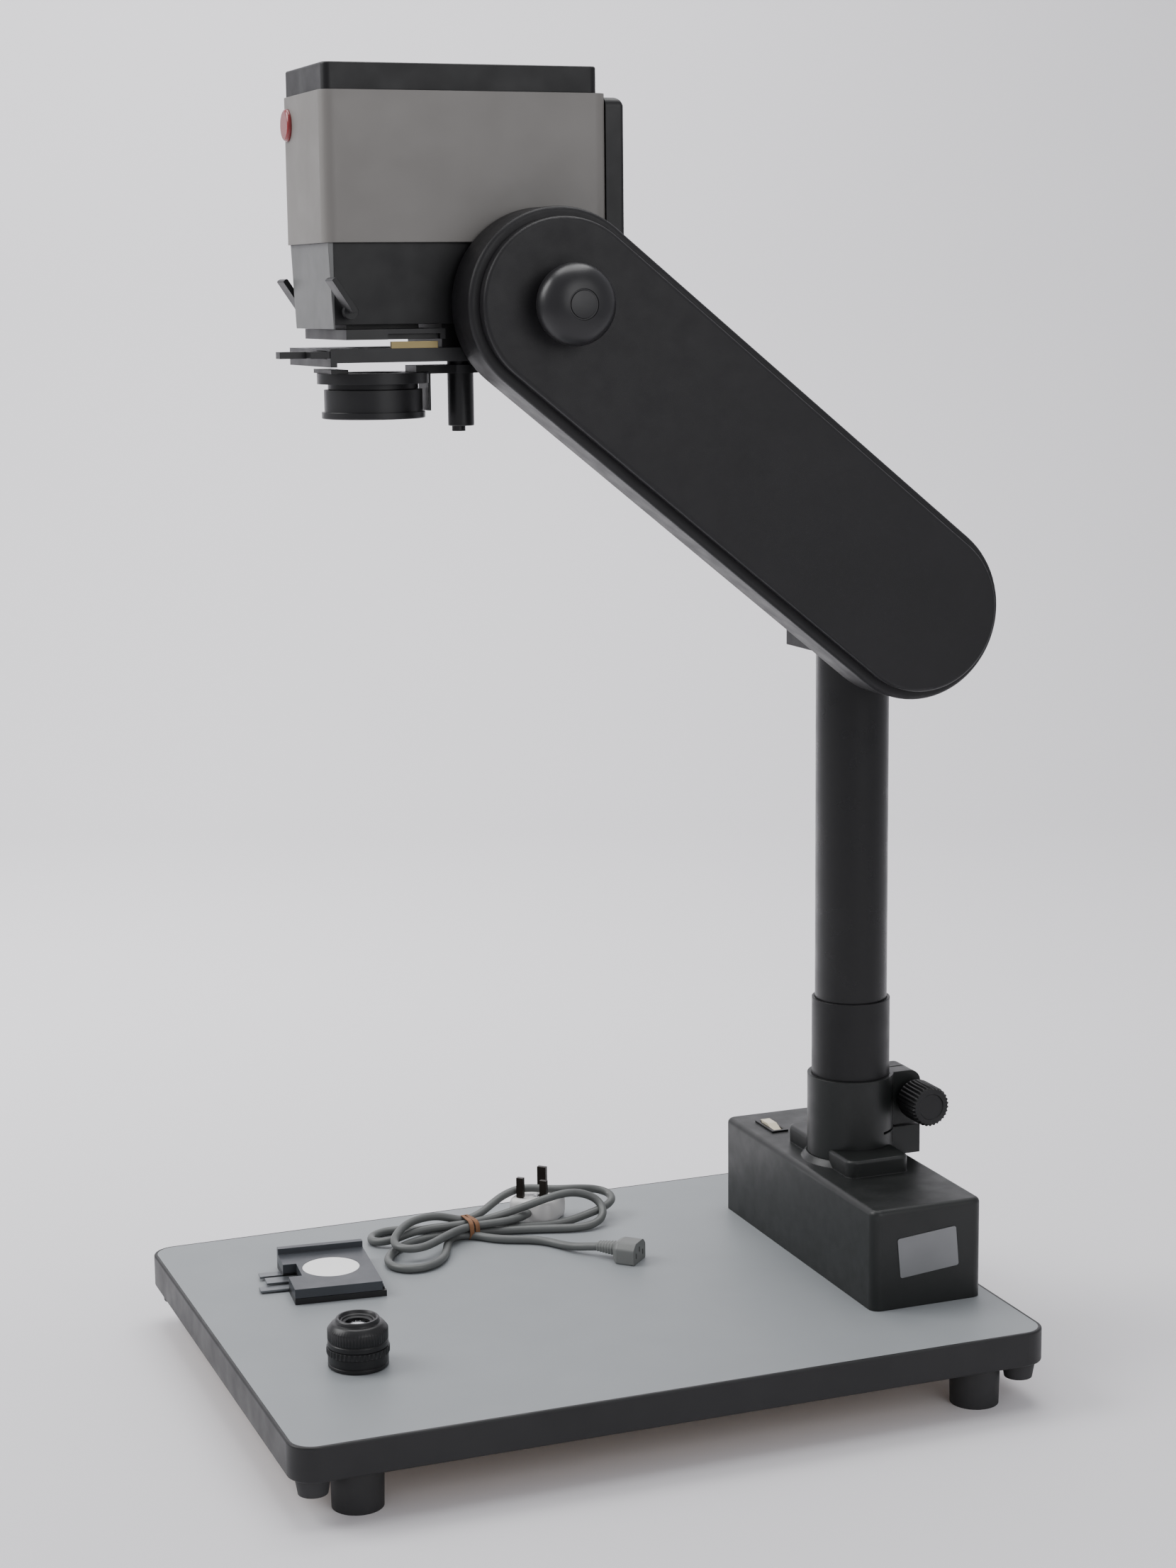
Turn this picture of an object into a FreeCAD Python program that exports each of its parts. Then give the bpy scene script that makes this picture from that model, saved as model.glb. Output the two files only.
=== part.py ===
import FreeCAD, Part
import os
from math import atan2, acos, cos, sin, tan, radians, pi, hypot

# Tabletop photographic enlarger: a baseboard, a foot housing with the power supply, a round
# column in a split clamp collar, a one-sided parallelogram arm, and a lamp head with its
# negative stage and lens carriage. A taking lens, a negative carrier and a tied mains lead lie
# on the board. Millimetres. +Z is up, -X is the operator's side, and the arm is on the -Y side.
# The origin is the bottom centre of the bounding box, at the height of the feet's soles.

V = FreeCAD.Vector

# ---------------------------------------------------------------- driving dimensions
# baseboard
BOARD_LENGTH = 610.0
BOARD_WIDTH = 464.0
BOARD_CORNER_R = 20.0
CORE_THICKNESS = 26.0
LAMINATE_THICKNESS = 1.0
BAND_THICKNESS = 3.0
BAND_EDGE_R = 1.6
# feet and bumpers under the board
FOOT_HEIGHT = 35.0
FOOT_R = 20.0
FOOT_SOLE_R = 19.2
FOOT_FRONT_INSET = 55.3
FOOT_REAR_INSET = 50.0
FOOT_SIDE_INSET = 31.7
BUMPER_HEIGHT = 14.0
BUMPER_R = 13.5
BUMPER_TIP_R = 11.0
BUMPER_INSET = 18.5
SCREW_R = 2.9
SCREW_HEAD_R = 6.0
SCREW_HEAD_HEIGHT = 4.0
SCREW_BITE = 16.0
# foot housing and what it holds
HOUSING_FRONT = 51.0
HOUSING_REAR_MARGIN = 10.95
HOUSING_HALF_WIDTH = 144.4
HOUSING_HEIGHT = 82.7
HOUSING_WALL = 3.0
HOUSING_EDGE_R = 8.0
HOUSING_TOP_EDGE_R = 4.5
APRON_FRONT = 30.0
APRON_REAR = 25.0
APRON_HALF_WIDTH = 61.0
APRON_HEIGHT = 14.3
FLARE = 5.0
SWITCH_SETBACK = 24.8
SWITCH_Y = 100.0
SWITCH_HALF_LENGTH = 15.0
SWITCH_HALF_WIDTH = 4.5
SWITCH_DEPTH = 8.0
BEZEL_RIM = 3.0
BEZEL_RISE = 1.5
INLET_Y = 92.0
INLET_RISE = 38.0
INLET_HALF_WIDTH = 13.8
INLET_HALF_HEIGHT = 10.2
INLET_DEPTH = 17.0
INLET_WALL = 2.0
INLET_FLANGE = 6.0
LABEL_SETBACK = 48.8
LABEL_RISE = 44.0
LABEL_HALF_LENGTH = 26.2
LABEL_HALF_HEIGHT = 16.5
LABEL_THICKNESS = 0.6
# clamp collar, sleeve and column
COLUMN_SETBACK = 550.0
COLUMN_R = 30.0
COLUMN_WALL = 3.0
COLUMN_TOP = 515.0
SLEEVE_WALL = 2.45
SLEEVE_TOP = 220.5
COLLAR_WALL = 3.5
COLLAR_TOP = 155.2
COLLAR_FLOOR = 5.0
LUG_MARGIN = 21.45
LUG_HALF_WIDTH = 16.0
LUG_CORNER_R = 10.0
SLIT = 2.0
CLAMP_AXIS_MARGIN = 12.95
CLAMP_AXIS_HEIGHT = 132.6
CLAMP_SCREW_R = 4.0
CLAMP_KNOB_R = 17.0
CLAMP_KNOB_LENGTH = 30.0
CLAMP_NECK_R = 9.0
CLAMP_NECK_LENGTH = 6.0
CLAMP_KNOB_FLUTES = 30
# column head
HEAD_BLOCK_HALF_LENGTH = 45.0
HEAD_BLOCK_NEAR = 54.0
HEAD_BLOCK_FAR = 35.0
HEAD_BLOCK_HEIGHT = 78.0
# arm
ARM_LENGTH = 380.0
ARM_REST_ANGLE = 39.0
ARM_END_R = 71.0
ARM_FAR_FACE = 57.0
ARM_NEAR_FACE = 100.0
ARM_WALL = 3.5
ARM_PIVOT_SETBACK = 7.0
ARM_PIVOT_HEIGHT = 553.5
COVER_INSET = 7.6
COVER_RISE = 11.0
COVER_WALL = 3.0
SHAFT_R = 10.0
BUSH_WALL = 5.0
BUSH_LENGTH = 15.0
LINK_OFFSET = 34.0
LINK_OFFSET_ANGLE = 102.0
LINK_PIN_R = 4.0
LINK_EYE_R = 8.5
LINK_HALF_WIDTH = 6.0
OPEN_PIVOT_CLEARANCE = 0.6
SPRING_R = 27.0
SPRING_WIRE_R = 1.8
SPRING_TURNS = 3
GRIP_R = 30.0
GRIP_LENGTH = 35.0
GRIP_SPINDLE_R = 5.0
# lamp head, measured from the head's own pivot
HEAD_FRONT_REACH = 164.8
HEAD_LENGTH = 220.7
HEAD_WIDTH = 109.2
HEAD_CORNER_R = 9.5
CASING_BOTTOM = 46.0
CASING_HEIGHT = 108.3
CASING_WALL = 2.5
CAP_HEIGHT = 19.5
CAP_INSET = 2.0
CAP_REAR_INSET = 7.0
CAP_TAPER = 1.5
REAR_COVER_DEPTH = 15.0
REAR_COVER_HEIGHT = 101.0
REAR_COVER_WIDTH = 100.0
LOWER_FRONT_INSET = 7.1
LOWER_WIDTH = 100.0
LOWER_BOTTOM = -13.1
LOWER_REAR_REACH = 42.0
PANEL_PROUD = 3.9
PANEL_PROUD_LOW = 1.0
BADGE_R = 12.0
BADGE_OFFSET = 38.5
BADGE_DROP = 20.5
LENS_AXIS_REACH = 50.2
CASING_LIP = 1.2
CHASSIS_THICKNESS = 3.0
CHEEK_HALF_LENGTH = 30.0
CHEEK_THICKNESS = 6.0
TUNNEL_HALF = 28.0
TUNNEL_WALL = 2.5
TUNNEL_RISE = 22.0
BOX_WALL = 2.0
BOX_CLEAR = 0.8
# negative stage, press frame and lens carriage
JAW_HEIGHT = 7.5
JAW_WIDTH = 111.0
JAW_FRONT_INSET = 14.1
JAW_LENGTH = 76.0
SLOT_GAP = 6.5
PRESS_TRAVEL = 3.0
STAGE_THICKNESS = 10.0
STAGE_WIDTH = 112.0
STAGE_LENGTH = 160.0
STAGE_LIP = 3.0
STAGE_SETBACK = 1.6
STAGE_BLOCK_GAP = 1.5
GATE_SIZE = 36.0
MASK_TONGUE_THICKNESS = 5.0
MASK_TONGUE_LENGTH = 32.0
MASK_NEAR_Y = -47.0
MASK_FAR_Y = -20.0
MASK_COVER = 1.5
SPRING_STRIP_WIDTH = 3.0
SPRING_STRIP_SETBACK = 48.0
SPRING_STRIP_LENGTH = 36.0
STRIP_NOTCH = 4.0
POST_R = 10.0
POST_SETBACK = 69.4
POST_DROP = 60.0
POST_TIP_R = 5.2
POST_TIP_LENGTH = 4.0
DISC_R = 42.0
DISC_THICKNESS = 8.0
DISC_DROP = 18.6
NECK_R = 34.0
NECK_LENGTH = 4.0
RING_R = 37.0
RING_HEIGHT = 17.0
RING_FLANGE_R = 39.0
RING_FLANGE_HEIGHT = 5.0
LENS_TUBE_R = 30.0
LENS_SEAT_R = 19.5
LENS_SEAT_LENGTH = 10.0
LEVER_SETBACK = 16.1
LEVER_RISE = -3.7
LEVER_LENGTH = 29.0
LEVER_ANGLE = 124.0
LEVER_SHAFT_R = 3.0
PADDLE_WIDTH = 19.0
PADDLE_THICKNESS = 4.0
# pieces that lie on the board, placed from the board's front edge and centre line
LENS_SPOT = (89.7, -91.4)
LENS_R = 23.2
LENS_HEIGHT = 38.0
CARRIER_SPOT = (121.3, 93.2)
CARRIER_YAW = -6.0
CARRIER_LENGTH = 75.0
CARRIER_WIDTH = 93.5
CARRIER_BASE_HEIGHT = 5.0
CARRIER_LID_HEIGHT = 8.0
OPAL_R = 23.5
CORD_R = 3.5
CONNECTOR_FACE = (373.5, 38.5)
CONNECTOR_HEADING = -45.0
CONNECTOR_LENGTH = 20.0
CONNECTOR_BOOT = 18.0
CONNECTOR_BOOT_R = 7.0
CONNECTOR_HALF_WIDTH = 13.0
CONNECTOR_HEIGHT = 18.0
CONNECTOR_CORNER = 5.0
PLUG_SPOT = (334.2, 179.5)
PLUG_YAW = 46.0
PLUG_HALF = 20.5
PLUG_HEIGHT = 21.0
PLUG_CORNER_R = 9.0
TIE_SPOT = (262.5, 157.2)
TIE_HEADING = 8.0
TIE_HALF_LENGTH = 4.0
TIE_HALF_WIDTH = 13.5
TIE_WALL = 1.5
HANK_HEIGHT = 16.0
HANK_WAIST_R = 12.5
HANK_LOBES = (((368.0, 157.0), 28.0), ((207.0, 162.0), 25.0), ((206.0, 108.0), 26.0))
HANK_CREST = ((318.0, 163.0), 20.0, (370.0, 157.0), 26.0)
HANK_CREST_HEIGHT = 30.0
# fits
RUNNING = 0.05
CLEAR = 0.4

# ---------------------------------------------------------------- places worked out from them
REAR_REACH = max(BOARD_LENGTH - COLUMN_SETBACK, ARM_PIVOT_SETBACK + ARM_END_R)
COLUMN_X = (COLUMN_SETBACK - REAR_REACH) / 2.0
BOARD_FRONT = COLUMN_X - COLUMN_SETBACK
BOARD_REAR = BOARD_FRONT + BOARD_LENGTH
BOARD_TOP = FOOT_HEIGHT + CORE_THICKNESS + LAMINATE_THICKNESS
SLEEVE_R = COLUMN_R + RUNNING + SLEEVE_WALL
COLLAR_BORE = SLEEVE_R + RUNNING
COLLAR_R = COLLAR_BORE + COLLAR_WALL
HOUSING_REAR = COLLAR_R + HOUSING_REAR_MARGIN
LUG_REACH = COLLAR_R + LUG_MARGIN
CLAMP_AXIS_X = COLLAR_R + CLAMP_AXIS_MARGIN
ARM_X = COLUMN_X + ARM_PIVOT_SETBACK
ARM_Z = BOARD_TOP + ARM_PIVOT_HEIGHT
ARM_ANGLE = radians(ARM_REST_ANGLE)
HEAD_X = ARM_X - ARM_LENGTH * cos(ARM_ANGLE)
HEAD_Z = ARM_Z + ARM_LENGTH * sin(ARM_ANGLE)
LINK_DX = LINK_OFFSET * cos(radians(LINK_OFFSET_ANGLE))
LINK_DZ = LINK_OFFSET * sin(radians(LINK_OFFSET_ANGLE))
HEAD_FRONT = HEAD_X - HEAD_FRONT_REACH
HEAD_REAR = HEAD_FRONT + HEAD_LENGTH
LENS_X = HEAD_FRONT + LENS_AXIS_REACH
CASING_Z = HEAD_Z + CASING_BOTTOM
CASING_TOP = CASING_Z + CASING_HEIGHT
LOWER_Z = HEAD_Z + LOWER_BOTTOM
JAW_TOP = LOWER_Z - PRESS_TRAVEL - CLEAR
JAW_Z = JAW_TOP - JAW_HEIGHT
STAGE_TOP = JAW_Z - SLOT_GAP
STAGE_Z = STAGE_TOP - STAGE_THICKNESS
DISC_TOP = STAGE_TOP - DISC_DROP
NECK_Z = DISC_TOP - DISC_THICKNESS
RING_TOP = NECK_Z - NECK_LENGTH
RING_Z = RING_TOP - RING_HEIGHT
POST_X = LENS_X + POST_SETBACK


# ---------------------------------------------------------------- shape helpers
def box(x0, x1, y0, y1, z0, z1):
    return Part.makeBox(x1 - x0, y1 - y0, z1 - z0, V(x0, y0, z0))


def disc_z(x, y, z0, z1, r):
    return Part.makeCylinder(r, z1 - z0, V(x, y, z0), V(0, 0, 1))


def disc_y(x, z, y0, y1, r):
    return Part.makeCylinder(r, y1 - y0, V(x, y0, z), V(0, 1, 0))


def disc_x(y, z, x0, x1, r):
    return Part.makeCylinder(r, x1 - x0, V(x0, y, z), V(1, 0, 0))


def prism(points, direction):
    """A solid from a closed flat outline, given as corner vectors, pushed along direction."""
    wire = Part.makePolygon(points + [points[0]])
    return Part.Face(wire).extrude(direction)


def rounded_box(x0, x1, y0, y1, z0, z1, r):
    """A block whose four upright edges are round."""
    block = box(x0, x1, y0, y1, z0, z1)
    upright = [e for e in block.Edges if abs(e.tangentAt(e.FirstParameter).z) > 0.99]
    return block.makeFillet(r, upright)


def round_top(shape, r):
    """Round the edges that lie in the shape's top plane."""
    top = shape.BoundBox.ZMax
    edges = [e for e in shape.Edges if e.BoundBox.ZMin > top - 1e-4]
    return shape.makeFillet(r, edges)


def capsule(p, q, rp, rq, lift, place):
    """The outline of two circles and their outer tangents, pushed along lift.

    p and q are the circles' centres in a plane, and place turns a point of it into a vector.
    """
    run = hypot(q[0] - p[0], q[1] - p[1])
    heading = atan2(q[1] - p[1], q[0] - p[0])
    side = acos((rp - rq) / run)

    def on(centre, r, angle):
        return place(centre[0] + r * cos(angle), centre[1] + r * sin(angle))

    a0 = on(p, rp, heading + side)
    a1 = on(p, rp, heading + pi)
    a2 = on(p, rp, heading - side)
    b0 = on(q, rq, heading - side)
    b1 = on(q, rq, heading)
    b2 = on(q, rq, heading + side)
    edges = [
        Part.Arc(a0, a1, a2).toShape(),
        Part.LineSegment(a2, b0).toShape(),
        Part.Arc(b0, b1, b2).toShape(),
        Part.LineSegment(b2, a0).toShape(),
    ]
    return Part.Face(Part.Wire(edges)).extrude(lift)


def arm_capsule(r, y0, y1):
    """A slab along the arm, from its column pivot to its head pivot, between two Y planes."""
    return capsule((ARM_X, ARM_Z), (HEAD_X, HEAD_Z), r, r, V(0, y1 - y0, 0), lambda x, z: V(x, y0, z))


def turned(profile):
    """A solid of revolution about +Z through the origin, from (radius, height) corners."""
    points = [V(r, 0, z) for r, z in profile]
    wire = Part.makePolygon(points + [points[0]])
    return Part.Face(wire).revolve(V(0, 0, 0), V(0, 0, 1), 360)


def fuse(shapes):
    whole = shapes[0]
    for shape in shapes[1:]:
        whole = whole.fuse(shape)
    return whole.removeSplitter()


def moved(shape, x, y, z, yaw=0.0):
    copy = shape.copy()
    copy.rotate(V(0, 0, 0), V(0, 0, 1), yaw)
    copy.translate(V(x, y, z))
    return copy


def export(name, shape):
    shape.exportStep("parts/" + name + ".step")


# ---------------------------------------------------------------- baseboard
def board_slab(inset, z0, z1):
    return rounded_box(
        BOARD_FRONT + inset,
        BOARD_REAR - inset,
        -BOARD_WIDTH / 2 + inset,
        BOARD_WIDTH / 2 - inset,
        z0,
        z1,
        BOARD_CORNER_R - inset,
    )


def foot_places():
    y = BOARD_WIDTH / 2 - FOOT_SIDE_INSET
    xs = (BOARD_FRONT + FOOT_FRONT_INSET, BOARD_REAR - FOOT_REAR_INSET)
    return [(x, side * y) for x in xs for side in (-1, 1)]


def bumper_places():
    y = BOARD_WIDTH / 2 - BUMPER_INSET
    xs = (BOARD_FRONT + BUMPER_INSET, BOARD_REAR - BUMPER_INSET)
    return [(x, side * y) for x in xs for side in (-1, 1)]


def build_baseboard():
    core_top = BOARD_TOP - LAMINATE_THICKNESS
    core = board_slab(BAND_THICKNESS, FOOT_HEIGHT, core_top)
    feet = []
    screws = []
    recess = FOOT_HEIGHT - 12.0
    for x, y in foot_places():
        core = core.cut(disc_z(x, y, FOOT_HEIGHT, FOOT_HEIGHT + SCREW_BITE, SCREW_R))
        foot = Part.makeCone(FOOT_SOLE_R, FOOT_R, FOOT_HEIGHT, V(x, y, 0), V(0, 0, 1))
        foot = foot.cut(disc_z(x, y, 0, recess, SCREW_HEAD_R + CLEAR))
        foot = foot.cut(disc_z(x, y, recess, FOOT_HEIGHT, SCREW_R))
        feet.append(foot)
        head = disc_z(x, y, recess - SCREW_HEAD_HEIGHT, recess, SCREW_HEAD_R)
        shank = disc_z(x, y, recess, FOOT_HEIGHT + SCREW_BITE, SCREW_R)
        screws.append(head.fuse(shank).removeSplitter())
    bumpers = []
    for x, y in bumper_places():
        base = V(x, y, FOOT_HEIGHT - BUMPER_HEIGHT)
        bumpers.append(Part.makeCone(BUMPER_TIP_R, BUMPER_R, BUMPER_HEIGHT, base, V(0, 0, 1)))
    band = board_slab(0.0, FOOT_HEIGHT, BOARD_TOP).cut(board_slab(BAND_THICKNESS, FOOT_HEIGHT, BOARD_TOP))
    outer = BOARD_LENGTH / 2 - BAND_THICKNESS / 2
    rim = []
    for edge in band.Edges:
        box_of = edge.BoundBox
        flat = box_of.ZMax - box_of.ZMin < 1e-4
        c = edge.CenterOfMass
        off_x = abs(c.x - (BOARD_FRONT + BOARD_REAR) / 2) > outer
        off_y = abs(c.y) > BOARD_WIDTH / 2 - BAND_THICKNESS / 2
        if flat and (off_x or off_y):
            rim.append(edge)
    band = band.makeFillet(BAND_EDGE_R, rim)
    export("baseboard_core", core)
    export("baseboard_laminate", board_slab(BAND_THICKNESS, core_top, BOARD_TOP))
    export("baseboard_edge_band", band)
    export("main_feet", Part.makeCompound(feet))
    export("corner_bumpers", Part.makeCompound(bumpers))
    export("foot_screws", Part.makeCompound(screws))


# ---------------------------------------------------------------- foot housing and power supply
HOUSING_X0 = COLUMN_X - HOUSING_FRONT
HOUSING_X1 = COLUMN_X + HOUSING_REAR
HOUSING_TOP = BOARD_TOP + HOUSING_HEIGHT
SWITCH_X = HOUSING_X0 + SWITCH_SETBACK
INLET_Z = BOARD_TOP + INLET_RISE


def build_foot_housing():
    wall = HOUSING_WALL
    outer = rounded_box(
        HOUSING_X0,
        HOUSING_X1,
        -HOUSING_HALF_WIDTH,
        HOUSING_HALF_WIDTH,
        BOARD_TOP,
        HOUSING_TOP,
        HOUSING_EDGE_R,
    )
    outer = round_top(outer, HOUSING_TOP_EDGE_R)
    inner = box(
        HOUSING_X0 + wall,
        HOUSING_X1 - wall,
        -HOUSING_HALF_WIDTH + wall,
        HOUSING_HALF_WIDTH - wall,
        BOARD_TOP,
        HOUSING_TOP - wall,
    )
    apron = rounded_box(
        COLUMN_X - APRON_FRONT,
        COLUMN_X + APRON_REAR,
        -APRON_HALF_WIDTH,
        APRON_HALF_WIDTH,
        HOUSING_TOP - wall,
        HOUSING_TOP + APRON_HEIGHT,
        HOUSING_EDGE_R,
    )
    apron = round_top(apron, 2.5)
    flare = Part.makeCone(COLLAR_R + FLARE, COLLAR_R + 1.0, FLARE, V(COLUMN_X, 0, HOUSING_TOP), V(0, 0, 1))
    shell = outer.cut(inner).fuse(apron).fuse(flare).removeSplitter()
    collar_hole = disc_z(COLUMN_X, 0, BOARD_TOP, HOUSING_TOP + APRON_HEIGHT, COLLAR_R + CLEAR)
    lug_slot = box(
        COLUMN_X,
        HOUSING_X1,
        -LUG_HALF_WIDTH - CLEAR,
        LUG_HALF_WIDTH + CLEAR,
        BOARD_TOP,
        HOUSING_TOP + APRON_HEIGHT,
    )
    switch_hole = box(
        SWITCH_X - SWITCH_HALF_WIDTH - 1.0,
        SWITCH_X + SWITCH_HALF_WIDTH + 1.0,
        SWITCH_Y - SWITCH_HALF_LENGTH - 1.0,
        SWITCH_Y + SWITCH_HALF_LENGTH + 1.0,
        HOUSING_TOP - wall,
        HOUSING_TOP,
    )
    inlet_hole = box(
        HOUSING_X1 - wall,
        HOUSING_X1,
        INLET_Y - INLET_HALF_WIDTH - INLET_WALL,
        INLET_Y + INLET_HALF_WIDTH + INLET_WALL,
        INLET_Z - INLET_HALF_HEIGHT - INLET_WALL,
        INLET_Z + INLET_HALF_HEIGHT + INLET_WALL,
    )
    shell = shell.cut(collar_hole).cut(lug_slot).cut(switch_hole).cut(inlet_hole)
    export("foot_housing", shell)


def build_power_supply():
    core_x0 = HOUSING_X0 + 16.0
    core_x1 = HOUSING_X1 - 18.0
    core_y0 = -HOUSING_HALF_WIDTH + 22.0
    core_y1 = core_y0 + 52.0
    core_z0 = BOARD_TOP
    core_z1 = HOUSING_TOP - HOUSING_WALL - 14.0
    window = 15.0
    limb = 11.0
    core = box(core_x0, core_x1, core_y0, core_y1, core_z0, core_z1)
    mid = (core_x0 + core_x1) / 2
    windows = []
    for side in (-1, 1):
        near = mid + side * limb
        far = mid + side * (limb + window)
        low, high = min(near, far), max(near, far)
        windows.append(box(low, high, core_y0, core_y1, core_z0 + limb, core_z1 - limb))
    core = core.cut(windows[0]).cut(windows[1])
    overhang = 9.0
    coil = box(
        mid - limb - window + 1.0,
        mid + limb + window - 1.0,
        core_y0 - overhang,
        core_y1 + overhang,
        core_z0 + limb + 1.0,
        core_z1 - limb - 1.0,
    )
    coil = coil.cut(box(mid - limb, mid + limb, core_y0, core_y1, core_z0 + limb, core_z1 - limb))
    coil = coil.cut(core)
    export("transformer_core", core)
    export("transformer_windings", coil)

    half_w = INLET_HALF_WIDTH
    half_h = INLET_HALF_HEIGHT
    body = box(
        HOUSING_X1 - INLET_DEPTH - INLET_WALL,
        HOUSING_X1,
        INLET_Y - half_w - INLET_WALL,
        INLET_Y + half_w + INLET_WALL,
        INLET_Z - half_h - INLET_WALL,
        INLET_Z + half_h + INLET_WALL,
    )
    flange = box(
        HOUSING_X1,
        HOUSING_X1 + 2.0,
        INLET_Y - half_w - INLET_FLANGE,
        INLET_Y + half_w + INLET_FLANGE,
        INLET_Z - half_h - INLET_FLANGE,
        INLET_Z + half_h + INLET_FLANGE,
    )
    socket = box(
        HOUSING_X1 - INLET_DEPTH,
        HOUSING_X1 + 2.0,
        INLET_Y - half_w,
        INLET_Y + half_w,
        INLET_Z - half_h,
        INLET_Z + half_h,
    )
    inlet = body.fuse(flange).cut(socket)
    pin_spots = ((-7.0, -2.0), (7.0, -2.0), (0.0, 2.0))
    pins = []
    for dy, dz in pin_spots:
        y = INLET_Y + dy
        z = INLET_Z + dz
        pins.append(box(HOUSING_X1 - INLET_DEPTH, HOUSING_X1 - 3.0, y - 1.0, y + 1.0, z - 2.0, z + 2.0))
    export("mains_inlet", fuse([inlet] + pins))


def build_switch():
    """A panel rocker switch: a framed body in the housing's top, and the rocker on its pin."""
    x, y = SWITCH_X, SWITCH_Y
    half_l, half_w = SWITCH_HALF_LENGTH, SWITCH_HALF_WIDTH
    wall = HOUSING_WALL
    body = box(
        x - half_w - 1.0,
        x + half_w + 1.0,
        y - half_l - 1.0,
        y + half_l + 1.0,
        HOUSING_TOP - SWITCH_DEPTH - wall,
        HOUSING_TOP + BEZEL_RISE,
    )
    frame = box(
        x - half_w - BEZEL_RIM,
        x + half_w + BEZEL_RIM,
        y - half_l - BEZEL_RIM,
        y + half_l + BEZEL_RIM,
        HOUSING_TOP,
        HOUSING_TOP + BEZEL_RISE,
    )
    well = box(
        x - half_w,
        x + half_w,
        y - half_l,
        y + half_l,
        HOUSING_TOP - SWITCH_DEPTH,
        HOUSING_TOP + BEZEL_RISE,
    )
    pin = disc_x(y, HOUSING_TOP, x - half_w - 0.5, x + half_w + 0.5, 1.2)
    export("switch_bezel", fuse([body, frame]).cut(well).fuse(pin).removeSplitter())
    tilt = 9.0
    half = half_l - 0.8
    outline = [
        V(x - half_w + 0.3, y - half, HOUSING_TOP + 1.0),
        V(x - half_w + 0.3, y, HOUSING_TOP + 3.4),
        V(x - half_w + 0.3, y + half, HOUSING_TOP + 1.0),
        V(x - half_w + 0.3, y + 4.0, HOUSING_TOP - 5.0),
        V(x - half_w + 0.3, y - 4.0, HOUSING_TOP - 5.0),
    ]
    rocker = prism(outline, V(2 * half_w - 0.6, 0, 0))
    rocker = rocker.cut(disc_x(y, HOUSING_TOP, x - half_w, x + half_w, 1.2 + RUNNING))
    rocker.rotate(V(x, y, HOUSING_TOP), V(1, 0, 0), tilt)
    export("switch_rocker", rocker)


def build_data_label():
    """A blank rating plate on the housing's near end, set on slightly askew."""
    x = HOUSING_X0 + LABEL_SETBACK
    z = BOARD_TOP + LABEL_RISE
    plate = box(-LABEL_HALF_LENGTH, LABEL_HALF_LENGTH, -LABEL_THICKNESS, 0, -LABEL_HALF_HEIGHT, LABEL_HALF_HEIGHT)
    upright = [e for e in plate.Edges if abs(e.tangentAt(e.FirstParameter).y) > 0.99]
    plate = plate.makeFillet(2.0, upright)
    plate.rotate(V(0, 0, 0), V(0, 1, 0), -5.0)
    plate.translate(V(x, -HOUSING_HALF_WIDTH, z))
    export("data_label", plate)


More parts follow.
